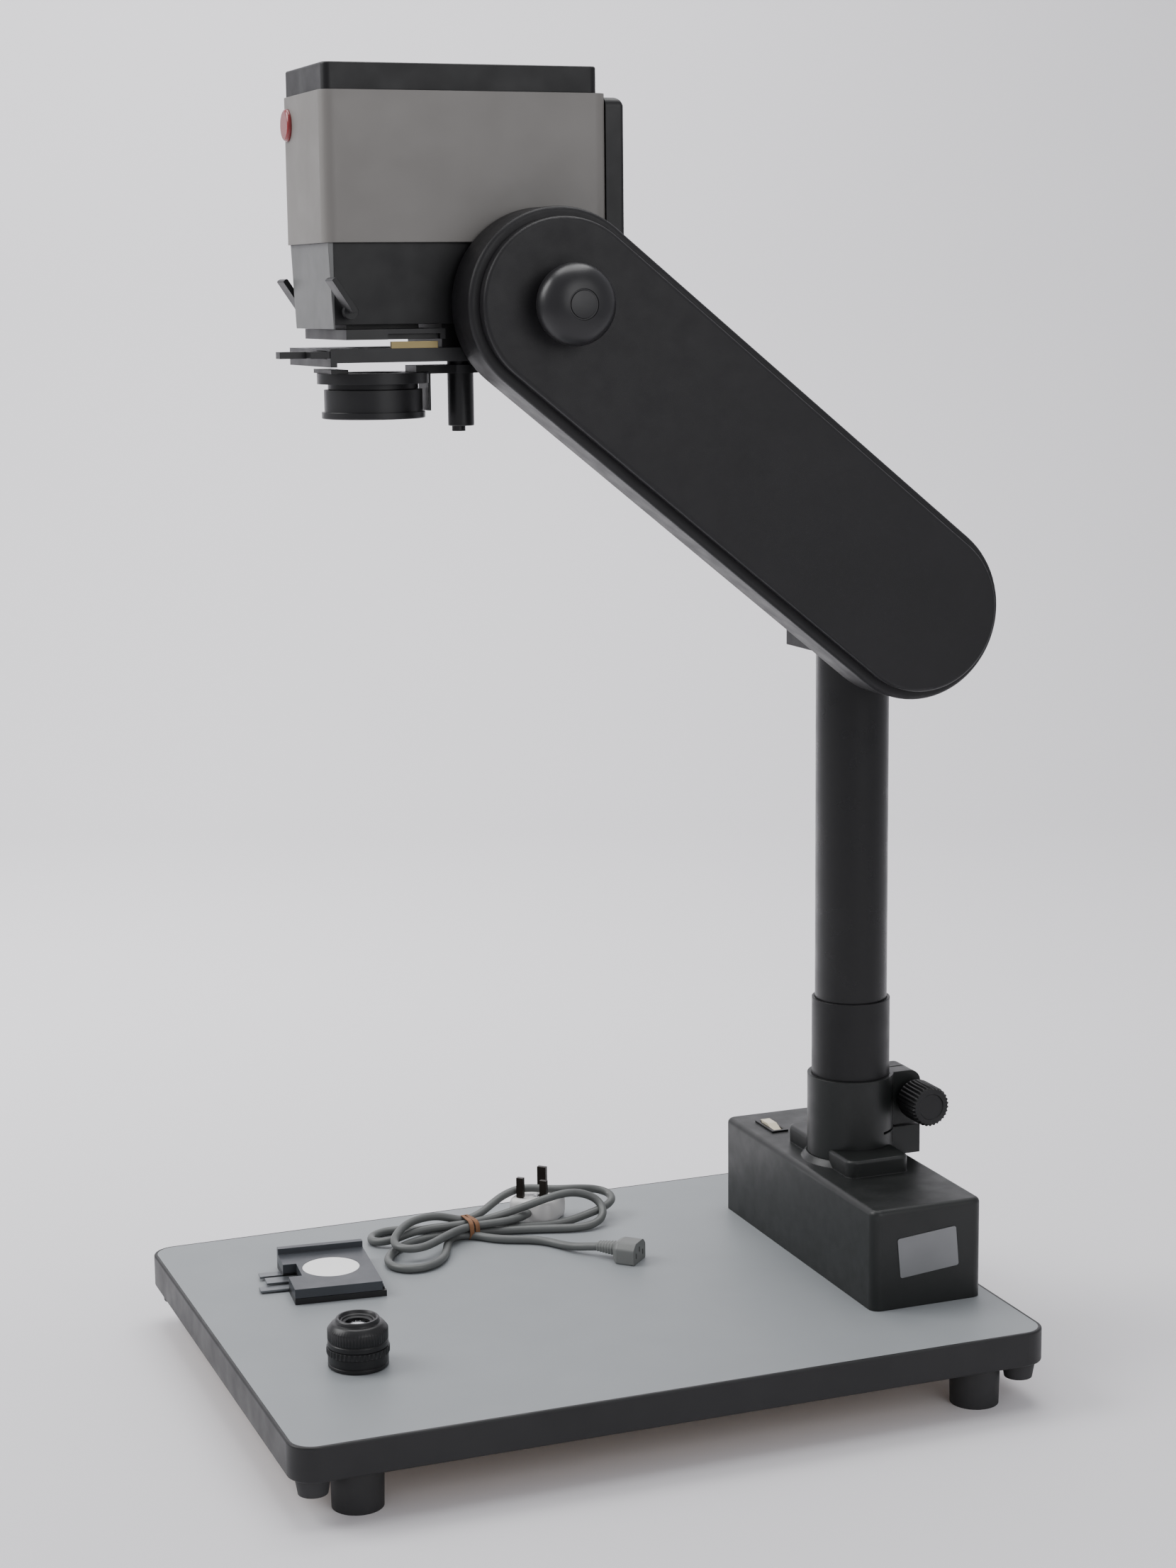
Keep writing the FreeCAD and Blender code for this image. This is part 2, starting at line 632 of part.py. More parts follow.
# ---------------------------------------------------------------- collar, sleeve and column
def build_collar():
    top = BOARD_TOP + COLLAR_TOP
    collar = disc_z(COLUMN_X, 0, BOARD_TOP, top, COLLAR_R)
    lug = box(
        COLUMN_X,
        COLUMN_X + LUG_REACH,
        -LUG_HALF_WIDTH,
        LUG_HALF_WIDTH,
        HOUSING_TOP + CLEAR,
        top,
    )
    corner = [
        e
        for e in lug.Edges
        if abs(e.tangentAt(e.FirstParameter).y) > 0.99
        and e.CenterOfMass.x > COLUMN_X + LUG_REACH - 1e-3
        and e.CenterOfMass.z > top - 1e-3
    ]
    lug = lug.makeFillet(LUG_CORNER_R, corner)
    web = box(
        COLUMN_X,
        HOUSING_X1 - HOUSING_WALL - CLEAR,
        -LUG_HALF_WIDTH,
        LUG_HALF_WIDTH,
        BOARD_TOP,
        HOUSING_TOP + CLEAR,
    )
    collar = fuse([collar, lug, web])
    bore = disc_z(COLUMN_X, 0, BOARD_TOP + COLLAR_FLOOR, top, COLLAR_BORE)
    saw_z = BOARD_TOP + CLAMP_AXIS_HEIGHT - 25.0
    upright_slit = box(COLUMN_X, COLUMN_X + LUG_REACH, -SLIT / 2, SLIT / 2, saw_z, top)
    level_slit = box(
        COLUMN_X + COLUMN_R * 0.5,
        COLUMN_X + LUG_REACH,
        -COLLAR_R,
        COLLAR_R,
        saw_z,
        saw_z + SLIT,
    )
    axis_x = COLUMN_X + CLAMP_AXIS_X
    axis_z = BOARD_TOP + CLAMP_AXIS_HEIGHT
    screw_hole = disc_y(axis_x, axis_z, -LUG_HALF_WIDTH, LUG_HALF_WIDTH, CLAMP_SCREW_R + RUNNING)
    collar = collar.cut(bore).cut(upright_slit).cut(level_slit).cut(screw_hole)
    export("clamp_collar", collar)

    sleeve_z0 = BOARD_TOP + COLLAR_FLOOR + CLEAR
    sleeve = disc_z(COLUMN_X, 0, sleeve_z0, BOARD_TOP + SLEEVE_TOP, SLEEVE_R)
    sleeve = sleeve.cut(disc_z(COLUMN_X, 0, sleeve_z0, BOARD_TOP + SLEEVE_TOP, COLUMN_R + RUNNING))
    export("column_sleeve", sleeve)

    neck_y1 = -LUG_HALF_WIDTH - CLEAR
    knob_y1 = neck_y1 - CLAMP_NECK_LENGTH
    knob_y0 = knob_y1 - CLAMP_KNOB_LENGTH
    knob = disc_y(axis_x, axis_z, knob_y0, knob_y1, CLAMP_KNOB_R)
    face_edges = [e for e in knob.Edges if e.BoundBox.YMax - e.BoundBox.YMin < 1e-4]
    knob = knob.makeFillet(1.5, face_edges)
    knob = knob.fuse(disc_y(axis_x, axis_z, knob_y1, neck_y1, CLAMP_NECK_R))
    flutes = []
    for i in range(CLAMP_KNOB_FLUTES):
        angle = 2 * pi * i / CLAMP_KNOB_FLUTES
        fx = axis_x + (CLAMP_KNOB_R + 0.3) * cos(angle)
        fz = axis_z + (CLAMP_KNOB_R + 0.3) * sin(angle)
        flutes.append(disc_y(fx, fz, knob_y0, knob_y1 - 5.0, 1.0))
    knob = knob.cut(Part.makeCompound(flutes))
    socket_depth = 14.0
    knob = knob.cut(disc_y(axis_x, axis_z, knob_y1 - socket_depth, neck_y1, CLAMP_SCREW_R))
    export("clamp_knob", knob)
    screw_end = LUG_HALF_WIDTH + CLEAR
    shank = disc_y(axis_x, axis_z, knob_y1 - socket_depth, screw_end, CLAMP_SCREW_R)
    nut_r = 8.0
    nut = disc_y(axis_x, axis_z, screw_end, screw_end + 6.0, nut_r)
    export("clamp_screw", shank.fuse(nut).removeSplitter())


def build_column():
    tube_z0 = BOARD_TOP + COLLAR_FLOOR + 2 * CLEAR
    tube_z1 = BOARD_TOP + COLUMN_TOP + HEAD_BLOCK_HEIGHT * 0.6
    tube = disc_z(COLUMN_X, 0, tube_z0, tube_z1, COLUMN_R)
    tube = tube.cut(disc_z(COLUMN_X, 0, tube_z0, tube_z1, COLUMN_R - COLUMN_WALL))
    export("column_tube", tube)

    block_z0 = BOARD_TOP + COLUMN_TOP
    block = rounded_box(
        COLUMN_X - HEAD_BLOCK_HALF_LENGTH,
        COLUMN_X + HEAD_BLOCK_HALF_LENGTH,
        -HEAD_BLOCK_NEAR,
        HEAD_BLOCK_FAR,
        block_z0,
        block_z0 + HEAD_BLOCK_HEIGHT,
        5.0,
    )
    block = round_top(block, 4.0)
    block = block.cut(disc_z(COLUMN_X, 0, block_z0, tube_z1, COLUMN_R))
    block = block.cut(disc_z(COLUMN_X, 0, tube_z1, tube_z1 + 20.0, COLUMN_R - COLUMN_WALL))
    seat_y1 = -HEAD_BLOCK_NEAR + 22.0
    block = block.cut(disc_y(ARM_X, ARM_Z, -HEAD_BLOCK_NEAR, seat_y1, SHAFT_R))
    export("column_head", block)

    # The shaft is fixed in the block. Its crank inside the arm holds the level link's lower pin.
    crank_y1 = -ARM_FAR_FACE - 25.0
    crank_y0 = crank_y1 - 4.0
    shaft = disc_y(ARM_X, ARM_Z, crank_y0, seat_y1, SHAFT_R)
    shaft = shaft.cut(disc_z(COLUMN_X, 0, block_z0, tube_z1, COLUMN_R))
    export("arm_pivot_shaft", fuse([shaft, crank(ARM_X, ARM_Z, crank_y0, crank_y1)]))

    # The focusing cam is an eccentric disc on the same shaft.
    cam_y1 = -ARM_FAR_FACE - 21.6
    cam = disc_y(ARM_X + 5.0, ARM_Z - 5.0, cam_y1 - 3.0, cam_y1, 26.0)
    cam = cam.cut(disc_y(ARM_X, ARM_Z, cam_y1 - 3.0, cam_y1, SHAFT_R))
    export("focus_cam", cam)


def crank(x, z, y0, y1):
    """A web from a shaft's centre out to the level link's pin, with the pin standing off it."""
    web = capsule(
        (x, z),
        (x + LINK_DX, z + LINK_DZ),
        SHAFT_R,
        LINK_EYE_R - 1.0,
        V(0, y1 - y0, 0),
        lambda u, w: V(u, y0, w),
    )
    pin = disc_y(x + LINK_DX, z + LINK_DZ, y0 - 7.0, y0, LINK_PIN_R)
    return web.fuse(pin)


# ---------------------------------------------------------------- arm
def bush_seats():
    return ((ARM_X, ARM_Z), (HEAD_X, HEAD_Z))


def build_arm():
    far = -ARM_FAR_FACE
    near = -ARM_NEAR_FACE
    rim_r = ARM_END_R - COVER_INSET - 3.5
    lip = 3.0
    body = arm_capsule(ARM_END_R, near, far)
    flat_edges = [e for e in body.Edges if e.BoundBox.YMax - e.BoundBox.YMin < 1e-4]
    body = body.makeFillet(3.5, flat_edges)
    body = body.cut(arm_capsule(ARM_END_R - ARM_WALL, near + lip, far - ARM_WALL))
    body = body.cut(arm_capsule(rim_r, near, near + lip))
    seat_r = SHAFT_R + RUNNING + BUSH_WALL
    bosses = []
    for x, z in bush_seats():
        bosses.append(disc_y(x, z, far - BUSH_LENGTH, far - ARM_WALL, seat_r + 4.0))
    body = fuse([body] + bosses)
    for x, z in bush_seats():
        body = body.cut(disc_y(x, z, far - BUSH_LENGTH, far, seat_r))
    export("arm_body", body)

    bushes = []
    for x, z in bush_seats():
        bush = disc_y(x, z, far - BUSH_LENGTH, far, seat_r)
        bushes.append(bush.cut(disc_y(x, z, far - BUSH_LENGTH, far, SHAFT_R + RUNNING)))
    export("arm_bushes", Part.makeCompound(bushes))

    cover_r = ARM_END_R - COVER_INSET
    cover_face = near - COVER_RISE
    cover = arm_capsule(cover_r, cover_face, near)
    outer_edges = [e for e in cover.Edges if e.BoundBox.YMax < cover_face + 1e-4]
    cover = cover.makeFillet(3.0, outer_edges)
    cover = cover.cut(arm_capsule(cover_r - COVER_WALL - 2.0, cover_face + COVER_WALL, near))
    cover = cover.cut(disc_y(HEAD_X, HEAD_Z, cover_face, near, GRIP_SPINDLE_R + RUNNING))
    export("arm_cover", cover)

    spring_y0 = far - 19.0
    pitch = (far - 6.0 - spring_y0) / SPRING_TURNS
    helix = Part.makeHelix(pitch, pitch * SPRING_TURNS, SPRING_R)
    wire_section = Part.Wire(Part.makeCircle(SPRING_WIRE_R, V(SPRING_R, 0, 0), V(0, 1, 0)))
    coil = Part.Wire(helix.Edges).makePipeShell([wire_section], True, True)
    coil.rotate(V(0, 0, 0), V(1, 0, 0), -90)
    coil.translate(V(ARM_X, spring_y0, ARM_Z))
    export("counterbalance_spring", coil)


def build_grip():
    """The round grip on the arm's cover, over the head's pivot, with a domed face."""
    back = ARM_NEAR_FACE + COVER_RISE + CLEAR
    front = back + GRIP_LENGTH
    waist = GRIP_R - 4.0
    profile = [
        (0.0, back),
        (waist, back),
        (waist, back + 8.0),
        (GRIP_R, back + 14.0),
        (GRIP_R, front - 6.0),
    ]
    dome_steps = 6
    for i in range(1, dome_steps + 1):
        angle = radians(90.0 * i / dome_steps)
        profile.append((GRIP_R - 7.0 * (1 - cos(angle)), front - 6.0 + 6.0 * sin(angle)))
    profile.append((12.0, front + 1.0))
    profile.append((11.0, front + 0.4))
    profile.append((10.0, front + 1.0))
    profile.append((0.0, front + 1.2))
    grip = turned(profile)
    spindle = disc_z(0, 0, ARM_NEAR_FACE + 1.0, back, GRIP_SPINDLE_R)
    grip = grip.fuse(spindle).removeSplitter()
    grip.rotate(V(0, 0, 0), V(1, 0, 0), 90)
    grip.translate(V(HEAD_X, 0, HEAD_Z))
    export("grip_knob", grip)


def build_level_link():
    """The bar that keeps the head level, parallel to the arm between the two cranks' pins."""
    y0 = -ARM_FAR_FACE - 25.0 - 4.0 - 6.0
    y1 = y0 + 5.0
    lower = (ARM_X + LINK_DX, ARM_Z + LINK_DZ)
    upper = (HEAD_X + LINK_DX, HEAD_Z + LINK_DZ)
    lift = V(0, y1 - y0, 0)
    bar = capsule(lower, upper, LINK_HALF_WIDTH, LINK_HALF_WIDTH, lift, lambda x, z: V(x, y0, z))
    eyes = [disc_y(x, z, y0, y1, LINK_EYE_R) for x, z in (lower, upper)]
    link = fuse([bar] + eyes)
    link = link.cut(disc_y(lower[0], lower[1], y0, y1, LINK_PIN_R + RUNNING))
    link = link.cut(disc_y(upper[0], upper[1], y0, y1, LINK_PIN_R + OPEN_PIVOT_CLEARANCE))
    export("level_link", link)


# ---------------------------------------------------------------- lamp head
LOWER_X0 = HEAD_FRONT + LOWER_FRONT_INSET
LOWER_X1 = HEAD_X + LOWER_REAR_REACH
LEVER_X = HEAD_FRONT + LEVER_SETBACK
SPRING_STRIP_X0 = HEAD_FRONT + SPRING_STRIP_SETBACK
SPRING_STRIP_X1 = SPRING_STRIP_X0 + SPRING_STRIP_LENGTH
LEVER_Z = HEAD_Z + LEVER_RISE
BOX_HALF = TUNNEL_HALF - TUNNEL_WALL - BOX_CLEAR


def build_head_shells():
    half = HEAD_WIDTH / 2
    wall = CASING_WALL
    casing = rounded_box(HEAD_FRONT, HEAD_REAR, -half, half, CASING_Z, CASING_TOP, HEAD_CORNER_R)
    hollow = rounded_box(
        HEAD_FRONT + wall,
        HEAD_REAR - wall,
        -half + wall,
        half - wall,
        CASING_Z,
        CASING_TOP,
        HEAD_CORNER_R - wall,
    )
    export("lamp_casing", casing.cut(hollow))

    cap_x0 = HEAD_FRONT + CAP_INSET
    cap_x1 = HEAD_REAR - CAP_REAR_INSET
    cap_half = half - CAP_INSET
    cap = rounded_box(cap_x0, cap_x1, -cap_half, cap_half, CASING_TOP, CASING_TOP + CAP_HEIGHT, 6.0)
    cap = round_top(cap, CAP_TAPER)
    inside = box(
        cap_x0 + wall + 2.0,
        cap_x1 - wall - 2.0,
        -cap_half + wall + 2.0,
        cap_half - wall - 2.0,
        CASING_TOP,
        CASING_TOP + CAP_HEIGHT - wall,
    )
    export("casing_cap", cap.cut(inside))

    cover_half = REAR_COVER_WIDTH / 2
    cover_z0 = CASING_Z + 5.0
    cover = box(
        HEAD_REAR,
        HEAD_REAR + REAR_COVER_DEPTH,
        -cover_half,
        cover_half,
        cover_z0,
        cover_z0 + REAR_COVER_HEIGHT,
    )
    back = HEAD_REAR + REAR_COVER_DEPTH
    rear_edges = [e for e in cover.Edges if e.BoundBox.XMin > back - 1e-4]
    upright = [e for e in rear_edges if abs(e.tangentAt(e.FirstParameter).z) > 0.99]
    cover = cover.makeFillet(3.0, upright)
    rear_edges = [e for e in cover.Edges if e.BoundBox.XMin > back - 4.0 and e.BoundBox.ZMin > cover_z0 + 90.0]
    level = [e for e in rear_edges if abs(e.tangentAt(e.FirstParameter).y) > 0.99 and e.BoundBox.XMin > back - 1e-4]
    cover = cover.makeFillet(7.0, level)
    hollow = box(
        HEAD_REAR,
        back - wall,
        -cover_half + wall + 1.0,
        cover_half - wall - 1.0,
        cover_z0 + wall,
        cover_z0 + REAR_COVER_HEIGHT - wall - 1.0,
    )
    export("rear_cover", cover.cut(hollow))

    lower_half = LOWER_WIDTH / 2
    lower = box(LOWER_X0, LOWER_X1, -lower_half, lower_half, LOWER_Z, CASING_Z)
    hollow = box(
        LOWER_X0 + wall,
        LOWER_X1 - wall,
        -lower_half + wall,
        lower_half - wall,
        LOWER_Z + wall,
        CASING_Z,
    )
    lower = lower.cut(hollow)
    reach = TUNNEL_HALF + CLEAR
    lower = lower.cut(box(LENS_X - reach, LENS_X + reach, -reach, reach, LOWER_Z, LOWER_Z + wall))
    lower = lower.cut(disc_y(LEVER_X, LEVER_Z, -lower_half, lower_half, LEVER_SHAFT_R + RUNNING))
    lower = lower.cut(disc_y(HEAD_X, HEAD_Z, -lower_half, -lower_half + wall, SHAFT_R + CLEAR))
    lower = lower.cut(cheek_room(CLEAR, LOWER_Z, LOWER_Z + wall))
    export("lower_housing", lower)

    # The front panel leans: it stands proud of the housing at its top, and little at its foot.
    panel_half = lower_half + 1.0
    panel_z0 = JAW_TOP + CLEAR
    corners = [
        V(LOWER_X0, -panel_half, panel_z0),
        V(LOWER_X0 - PANEL_PROUD_LOW, -panel_half, panel_z0),
        V(LOWER_X0 - PANEL_PROUD, -panel_half, CASING_Z),
        V(LOWER_X0, -panel_half, CASING_Z),
    ]
    export("front_panel", prism(corners, V(0, 2 * panel_half, 0)))

    badge_z = CASING_TOP - BADGE_DROP
    badge = disc_x(BADGE_OFFSET, badge_z, HEAD_FRONT - 3.0, HEAD_FRONT, BADGE_R)
    face = [e for e in badge.Edges if e.BoundBox.XMax < HEAD_FRONT - 3.0 + 1e-4]
    export("badge_disc", badge.makeFillet(2.4, face))


def cheek_room(gap, z0, z1):
    """The block that the chassis's cheek fills beside the near wall, widened by a gap."""
    y0 = -LOWER_WIDTH / 2 + CASING_WALL
    reach = CHEEK_HALF_LENGTH + gap
    return box(HEAD_X - reach, HEAD_X + reach, y0, y0 + CHEEK_THICKNESS + gap, z0, z1)


def build_head_inside():
    half = LOWER_WIDTH / 2
    wall = CASING_WALL
    floor_z0 = CASING_Z
    floor = box(
        HEAD_FRONT + wall,
        HEAD_REAR - wall,
        -HEAD_WIDTH / 2 + HEAD_CORNER_R,
        HEAD_WIDTH / 2 - HEAD_CORNER_R,
        floor_z0,
        floor_z0 + CHASSIS_THICKNESS,
    )
    cheek = cheek_room(0.0, LOWER_Z, floor_z0)
    cheek_y1 = -half + wall + CHEEK_THICKNESS
    gate = GATE_SIZE / 2 + 2.0
    floor = floor.cut(
        box(LENS_X - gate, LENS_X + gate, -gate, gate, floor_z0, floor_z0 + CHASSIS_THICKNESS)
    )
    chassis = fuse([floor, cheek])
    chassis = chassis.cut(disc_y(HEAD_X, HEAD_Z, -half + wall, cheek_y1, SHAFT_R))
    export("head_chassis", chassis)

    # The head's own shaft is fixed in the chassis and turns in the arm's upper bush.
    crank_y1 = -ARM_FAR_FACE - 25.0
    crank_y0 = crank_y1 - 4.0
    shaft = disc_y(HEAD_X, HEAD_Z, crank_y0, cheek_y1, SHAFT_R)
    export("head_pivot_shaft", fuse([shaft, crank(HEAD_X, HEAD_Z, crank_y0, crank_y1)]))

    box_z0 = LOWER_Z + PRESS_TRAVEL
    outer = box(LENS_X - BOX_HALF, LENS_X + BOX_HALF, -BOX_HALF, BOX_HALF, box_z0, floor_z0)
    core = BOX_HALF - BOX_WALL
    inner = box(LENS_X - core, LENS_X + core, -core, core, box_z0, floor_z0)
    export("mixing_box", outer.cut(inner))

    # The lamp lies along X behind the mixing box, in a socket on a post from the floor.
    lamp_z = CASING_Z + 52.0
    socket_x = HEAD_REAR - 70.0
    reflector = Part.makeCone(25.0, 8.0, 30.0, V(socket_x - 30.0, 0, lamp_z), V(1, 0, 0))
    hollow = Part.makeCone(23.5, 6.5, 29.0, V(socket_x - 30.0, 0, lamp_z), V(1, 0, 0))
    bulb = disc_x(0, lamp_z, socket_x - 22.0, socket_x - 1.0, 4.5)
    export("halogen_lamp", fuse([reflector.cut(hollow), bulb]))
    socket = disc_x(0, lamp_z, socket_x, socket_x + 18.0, 11.0)
    post_z0 = floor_z0 + CHASSIS_THICKNESS
    post = box(socket_x + 4.0, socket_x + 14.0, -8.0, 8.0, post_z0, lamp_z)
    export("lamp_socket", fuse([socket, post]))


def build_press_frame():
    """The upper jaw of the negative slot, with the light tunnel that slides in the housing."""
    x0 = HEAD_FRONT + JAW_FRONT_INSET
    half = JAW_WIDTH / 2
    plate = box(x0, x0 + JAW_LENGTH, -half, half, JAW_Z, JAW_TOP)
    gate = GATE_SIZE / 2
    plate = plate.cut(box(LENS_X - gate, LENS_X + gate, -gate, gate, JAW_Z, JAW_TOP))
    notch = box(
        SPRING_STRIP_X0 - 2.0,
        SPRING_STRIP_X1 + 2.0,
        -half,
        -half + SPRING_STRIP_WIDTH + 2.0,
        JAW_Z,
        JAW_Z + STRIP_NOTCH,
    )
    plate = plate.cut(notch)
    tunnel = box(
        LENS_X - TUNNEL_HALF,
        LENS_X + TUNNEL_HALF,
        -TUNNEL_HALF,
        TUNNEL_HALF,
        JAW_TOP,
        LOWER_Z + TUNNEL_RISE,
    )
    core = TUNNEL_HALF - TUNNEL_WALL
    tunnel = tunnel.cut(box(LENS_X - core, LENS_X + core, -core, core, JAW_TOP, LOWER_Z + TUNNEL_RISE))
    export("press_frame", fuse([plate, tunnel]))


def build_lift_lever():
    """A bail: a cross shaft through the housing, with a hub and a leaning paddle at each end."""
    inner_y = LOWER_WIDTH / 2 + 7.5
    shaft = disc_y(LEVER_X, LEVER_Z, -inner_y - 4.0, inner_y + 4.0, LEVER_SHAFT_R)
    pieces = [shaft]
    angle = radians(LEVER_ANGLE)
    for side in (-1, 1):
        y0 = side * inner_y
        y1 = side * (inner_y + PADDLE_WIDTH)
        low, high = min(y0, y1), max(y0, y1)
        hub_y = (low, low + 6.0) if side > 0 else (high - 6.0, high)
        pieces.append(disc_y(LEVER_X, LEVER_Z, hub_y[0], hub_y[1], LEVER_SHAFT_R + 2.5))
        paddle = box(0, LEVER_LENGTH, low, high, -PADDLE_THICKNESS / 2, PADDLE_THICKNESS / 2)
        tips = [e for e in paddle.Edges if abs(e.tangentAt(e.FirstParameter).y) > 0.99]
        paddle = paddle.makeFillet(1.2, tips)
        paddle.rotate(V(0, 0, 0), V(0, 1, 0), -angle * 180.0 / pi)
        paddle.translate(V(LEVER_X, 0, LEVER_Z))
        pieces.append(paddle)
    export("lift_lever", fuse(pieces))


# ---------------------------------------------------------------- negative stage
STAGE_X0 = HEAD_FRONT + STAGE_SETBACK
STAGE_X1 = STAGE_X0 + STAGE_LENGTH
STAGE_BLOCK_X0 = HEAD_FRONT + JAW_FRONT_INSET + JAW_LENGTH + STAGE_BLOCK_GAP
MASK_Z1 = STAGE_TOP - MASK_COVER
MASK_Z0 = MASK_Z1 - MASK_TONGUE_THICKNESS


def build_stage():
    half = STAGE_WIDTH / 2
    plate = box(STAGE_X0, STAGE_X1, -half, half, STAGE_Z, STAGE_TOP)
    lip = box(STAGE_X0, STAGE_X0 + 5.0, -half, half, STAGE_Z - STAGE_LIP, STAGE_Z)
    block_half = LOWER_WIDTH / 2 - 8.0
    block = box(STAGE_BLOCK_X0, STAGE_X1, -block_half, block_half, STAGE_TOP, LOWER_Z)
    stage = fuse([plate, lip, block])
    gate = GATE_SIZE / 2
    stage = stage.cut(box(LENS_X - gate, LENS_X + gate, -gate, gate, STAGE_Z, STAGE_TOP))
    channel = box(
        STAGE_X0,
        STAGE_X0 + MASK_TONGUE_LENGTH + 1.0,
        MASK_NEAR_Y - CLEAR,
        MASK_FAR_Y + CLEAR,
        MASK_Z0 - CLEAR,
        MASK_Z1 + CLEAR,
    )
    stage = stage.cut(channel)
    post_top = LOWER_Z
    stage = stage.cut(disc_z(POST_X, 0, STAGE_Z, post_top, POST_R))
    export("negative_stage", stage)

    post_z0 = STAGE_TOP - POST_DROP
    post = disc_z(POST_X, 0, post_z0, post_top, POST_R)
    low_edge = [e for e in post.Edges if e.BoundBox.ZMax < post_z0 + 1e-4]
    post = post.makeFillet(0.8, low_edge)
    tip = disc_z(POST_X - 2.0, 0, post_z0 - POST_TIP_LENGTH, post_z0, POST_TIP_R)
    export("guide_post", fuse([post, tip]))

    strip = box(
        SPRING_STRIP_X0,
        SPRING_STRIP_X1,
        -half,
        -half + SPRING_STRIP_WIDTH,
        STAGE_TOP,
        STAGE_TOP + SLOT_GAP - 1.5,
    )
    export("stage_spring_strip", strip)

    # The masking slide: a tongue in the stage's channel, a head in front, and a narrow finger.
    head_x0 = STAGE_X0 - 15.0
    tongue = box(STAGE_X0, STAGE_X0 + MASK_TONGUE_LENGTH, MASK_NEAR_Y, MASK_FAR_Y, MASK_Z0, MASK_Z1)
    head = box(head_x0, STAGE_X0 - CLEAR, -half, MASK_FAR_Y, MASK_Z0, MASK_Z1)
    bridge = box(STAGE_X0 - CLEAR, STAGE_X0, MASK_NEAR_Y, MASK_FAR_Y, MASK_Z0, MASK_Z1)
    finger = box(head_x0 - 19.5, head_x0, -43.0, -32.0, MASK_Z0, MASK_Z1)
    export("mask_slide", fuse([tongue, head, bridge, finger]))


def build_lens_carriage():
    """The disc, neck and lens tube, on an arm whose collar slides on the guide post."""
    x = LENS_X
    tube_z0 = RING_Z - 3.5
    disc = disc_z(x, 0, NECK_Z, DISC_TOP, DISC_R)
    neck = disc_z(x, 0, RING_TOP, NECK_Z, NECK_R)
    tube = disc_z(x, 0, tube_z0, RING_TOP, LENS_TUBE_R)
    block = box(x - DISC_R + 2.8, x - DISC_R + 16.0, -24.0, 24.0, DISC_TOP, DISC_TOP + 3.0)
    arm_z0 = DISC_TOP - 1.4
    arm_z1 = arm_z0 + 6.3
    arm = box(x + DISC_R - 12.0, POST_X, -14.0, 14.0, arm_z0, arm_z1)
    collar = disc_z(POST_X, 0, arm_z0, arm_z1, POST_R + 6.0)
    bracket = box(x + RING_FLANGE_R + 0.8, x + RING_FLANGE_R + 2.8, -12.0, 12.0, RING_Z, arm_z0)
    root = box(x + DISC_R - 12.0, x + RING_FLANGE_R + 2.8, -12.0, 12.0, NECK_Z, arm_z0)
    carriage = fuse([disc, neck, tube, block, arm, collar, bracket, root])
    carriage = carriage.cut(disc_z(POST_X, 0, arm_z0, arm_z1, POST_R + RUNNING))
    carriage = carriage.cut(disc_z(x, 0, tube_z0, tube_z0 + LENS_SEAT_LENGTH, LENS_SEAT_R))
    above = disc_z(x, 0, tube_z0 + LENS_SEAT_LENGTH, arm_z1, LENS_SEAT_R + 3.0)
    export("lens_carriage", carriage.cut(above))

    ring = disc_z(x, 0, RING_Z, RING_TOP - CLEAR, RING_R)
    flange_z0 = RING_Z - RING_FLANGE_HEIGHT
    flange = disc_z(x, 0, flange_z0, RING_Z, RING_FLANGE_R)
    low_edge = [e for e in flange.Edges if e.BoundBox.ZMax < flange_z0 + 1e-4]
    flange = flange.makeFillet(1.0, low_edge)
    ring = fuse([ring, flange])
    ring = ring.cut(disc_z(x, 0, flange_z0, RING_TOP, LENS_TUBE_R + RUNNING))
    export("focus_ring", ring)


# ---------------------------------------------------------------- lens and carrier on the board
def on_board(shape, spot, yaw=0.0):
    return moved(shape, BOARD_FRONT + spot[0], spot[1], BOARD_TOP, yaw)


def build_loose_lens():
    """The taking lens, standing on its rear end: barrel, aperture ring and two glasses."""
    seat = 0.25
    groove_z0, groove_z1 = 10.5, 16.5
    groove_r = LENS_R - 3.0
    barrel = turned(
        [
            (15.0, 0.0),
            (LENS_R - 1.2, 0.0),
            (LENS_R, 1.2),
            (LENS_R, groove_z0),
            (groove_r, groove_z0),
            (groove_r, groove_z1),
            (LENS_R, groove_z1),
            (LENS_R, 30.5),
            (LENS_R - 3.4, 34.0),
            (LENS_R - 6.6, 35.2),
            (LENS_R - 6.6, LENS_HEIGHT - 1.0),
            (LENS_R - 7.6, LENS_HEIGHT),
            (13.5, LENS_HEIGHT),
            (9.5, 34.0),
            (9.5, 8.0),
            (15.0, 8.0),
        ]
    )
    export("lens_barrel", on_board(barrel, LENS_SPOT))
    ring = turned(
        [
            (groove_r + RUNNING, groove_z0 + seat),
            (LENS_R + 1.0, groove_z0 + seat),
            (LENS_R + 1.0, groove_z1 - seat),
            (groove_r + RUNNING, groove_z1 - seat),
        ]
    )
    export("lens_aperture_ring", on_board(ring, LENS_SPOT))
    front = Part.makeSphere(16.0, V(0, 0, 18.0))
    front = front.common(disc_z(0, 0, 29.0, 34.0, 9.5))
    rear = disc_z(0, 0, 9.0, 12.0, 9.5)
    export("lens_glass", on_board(Part.makeCompound([front, rear]), LENS_SPOT))


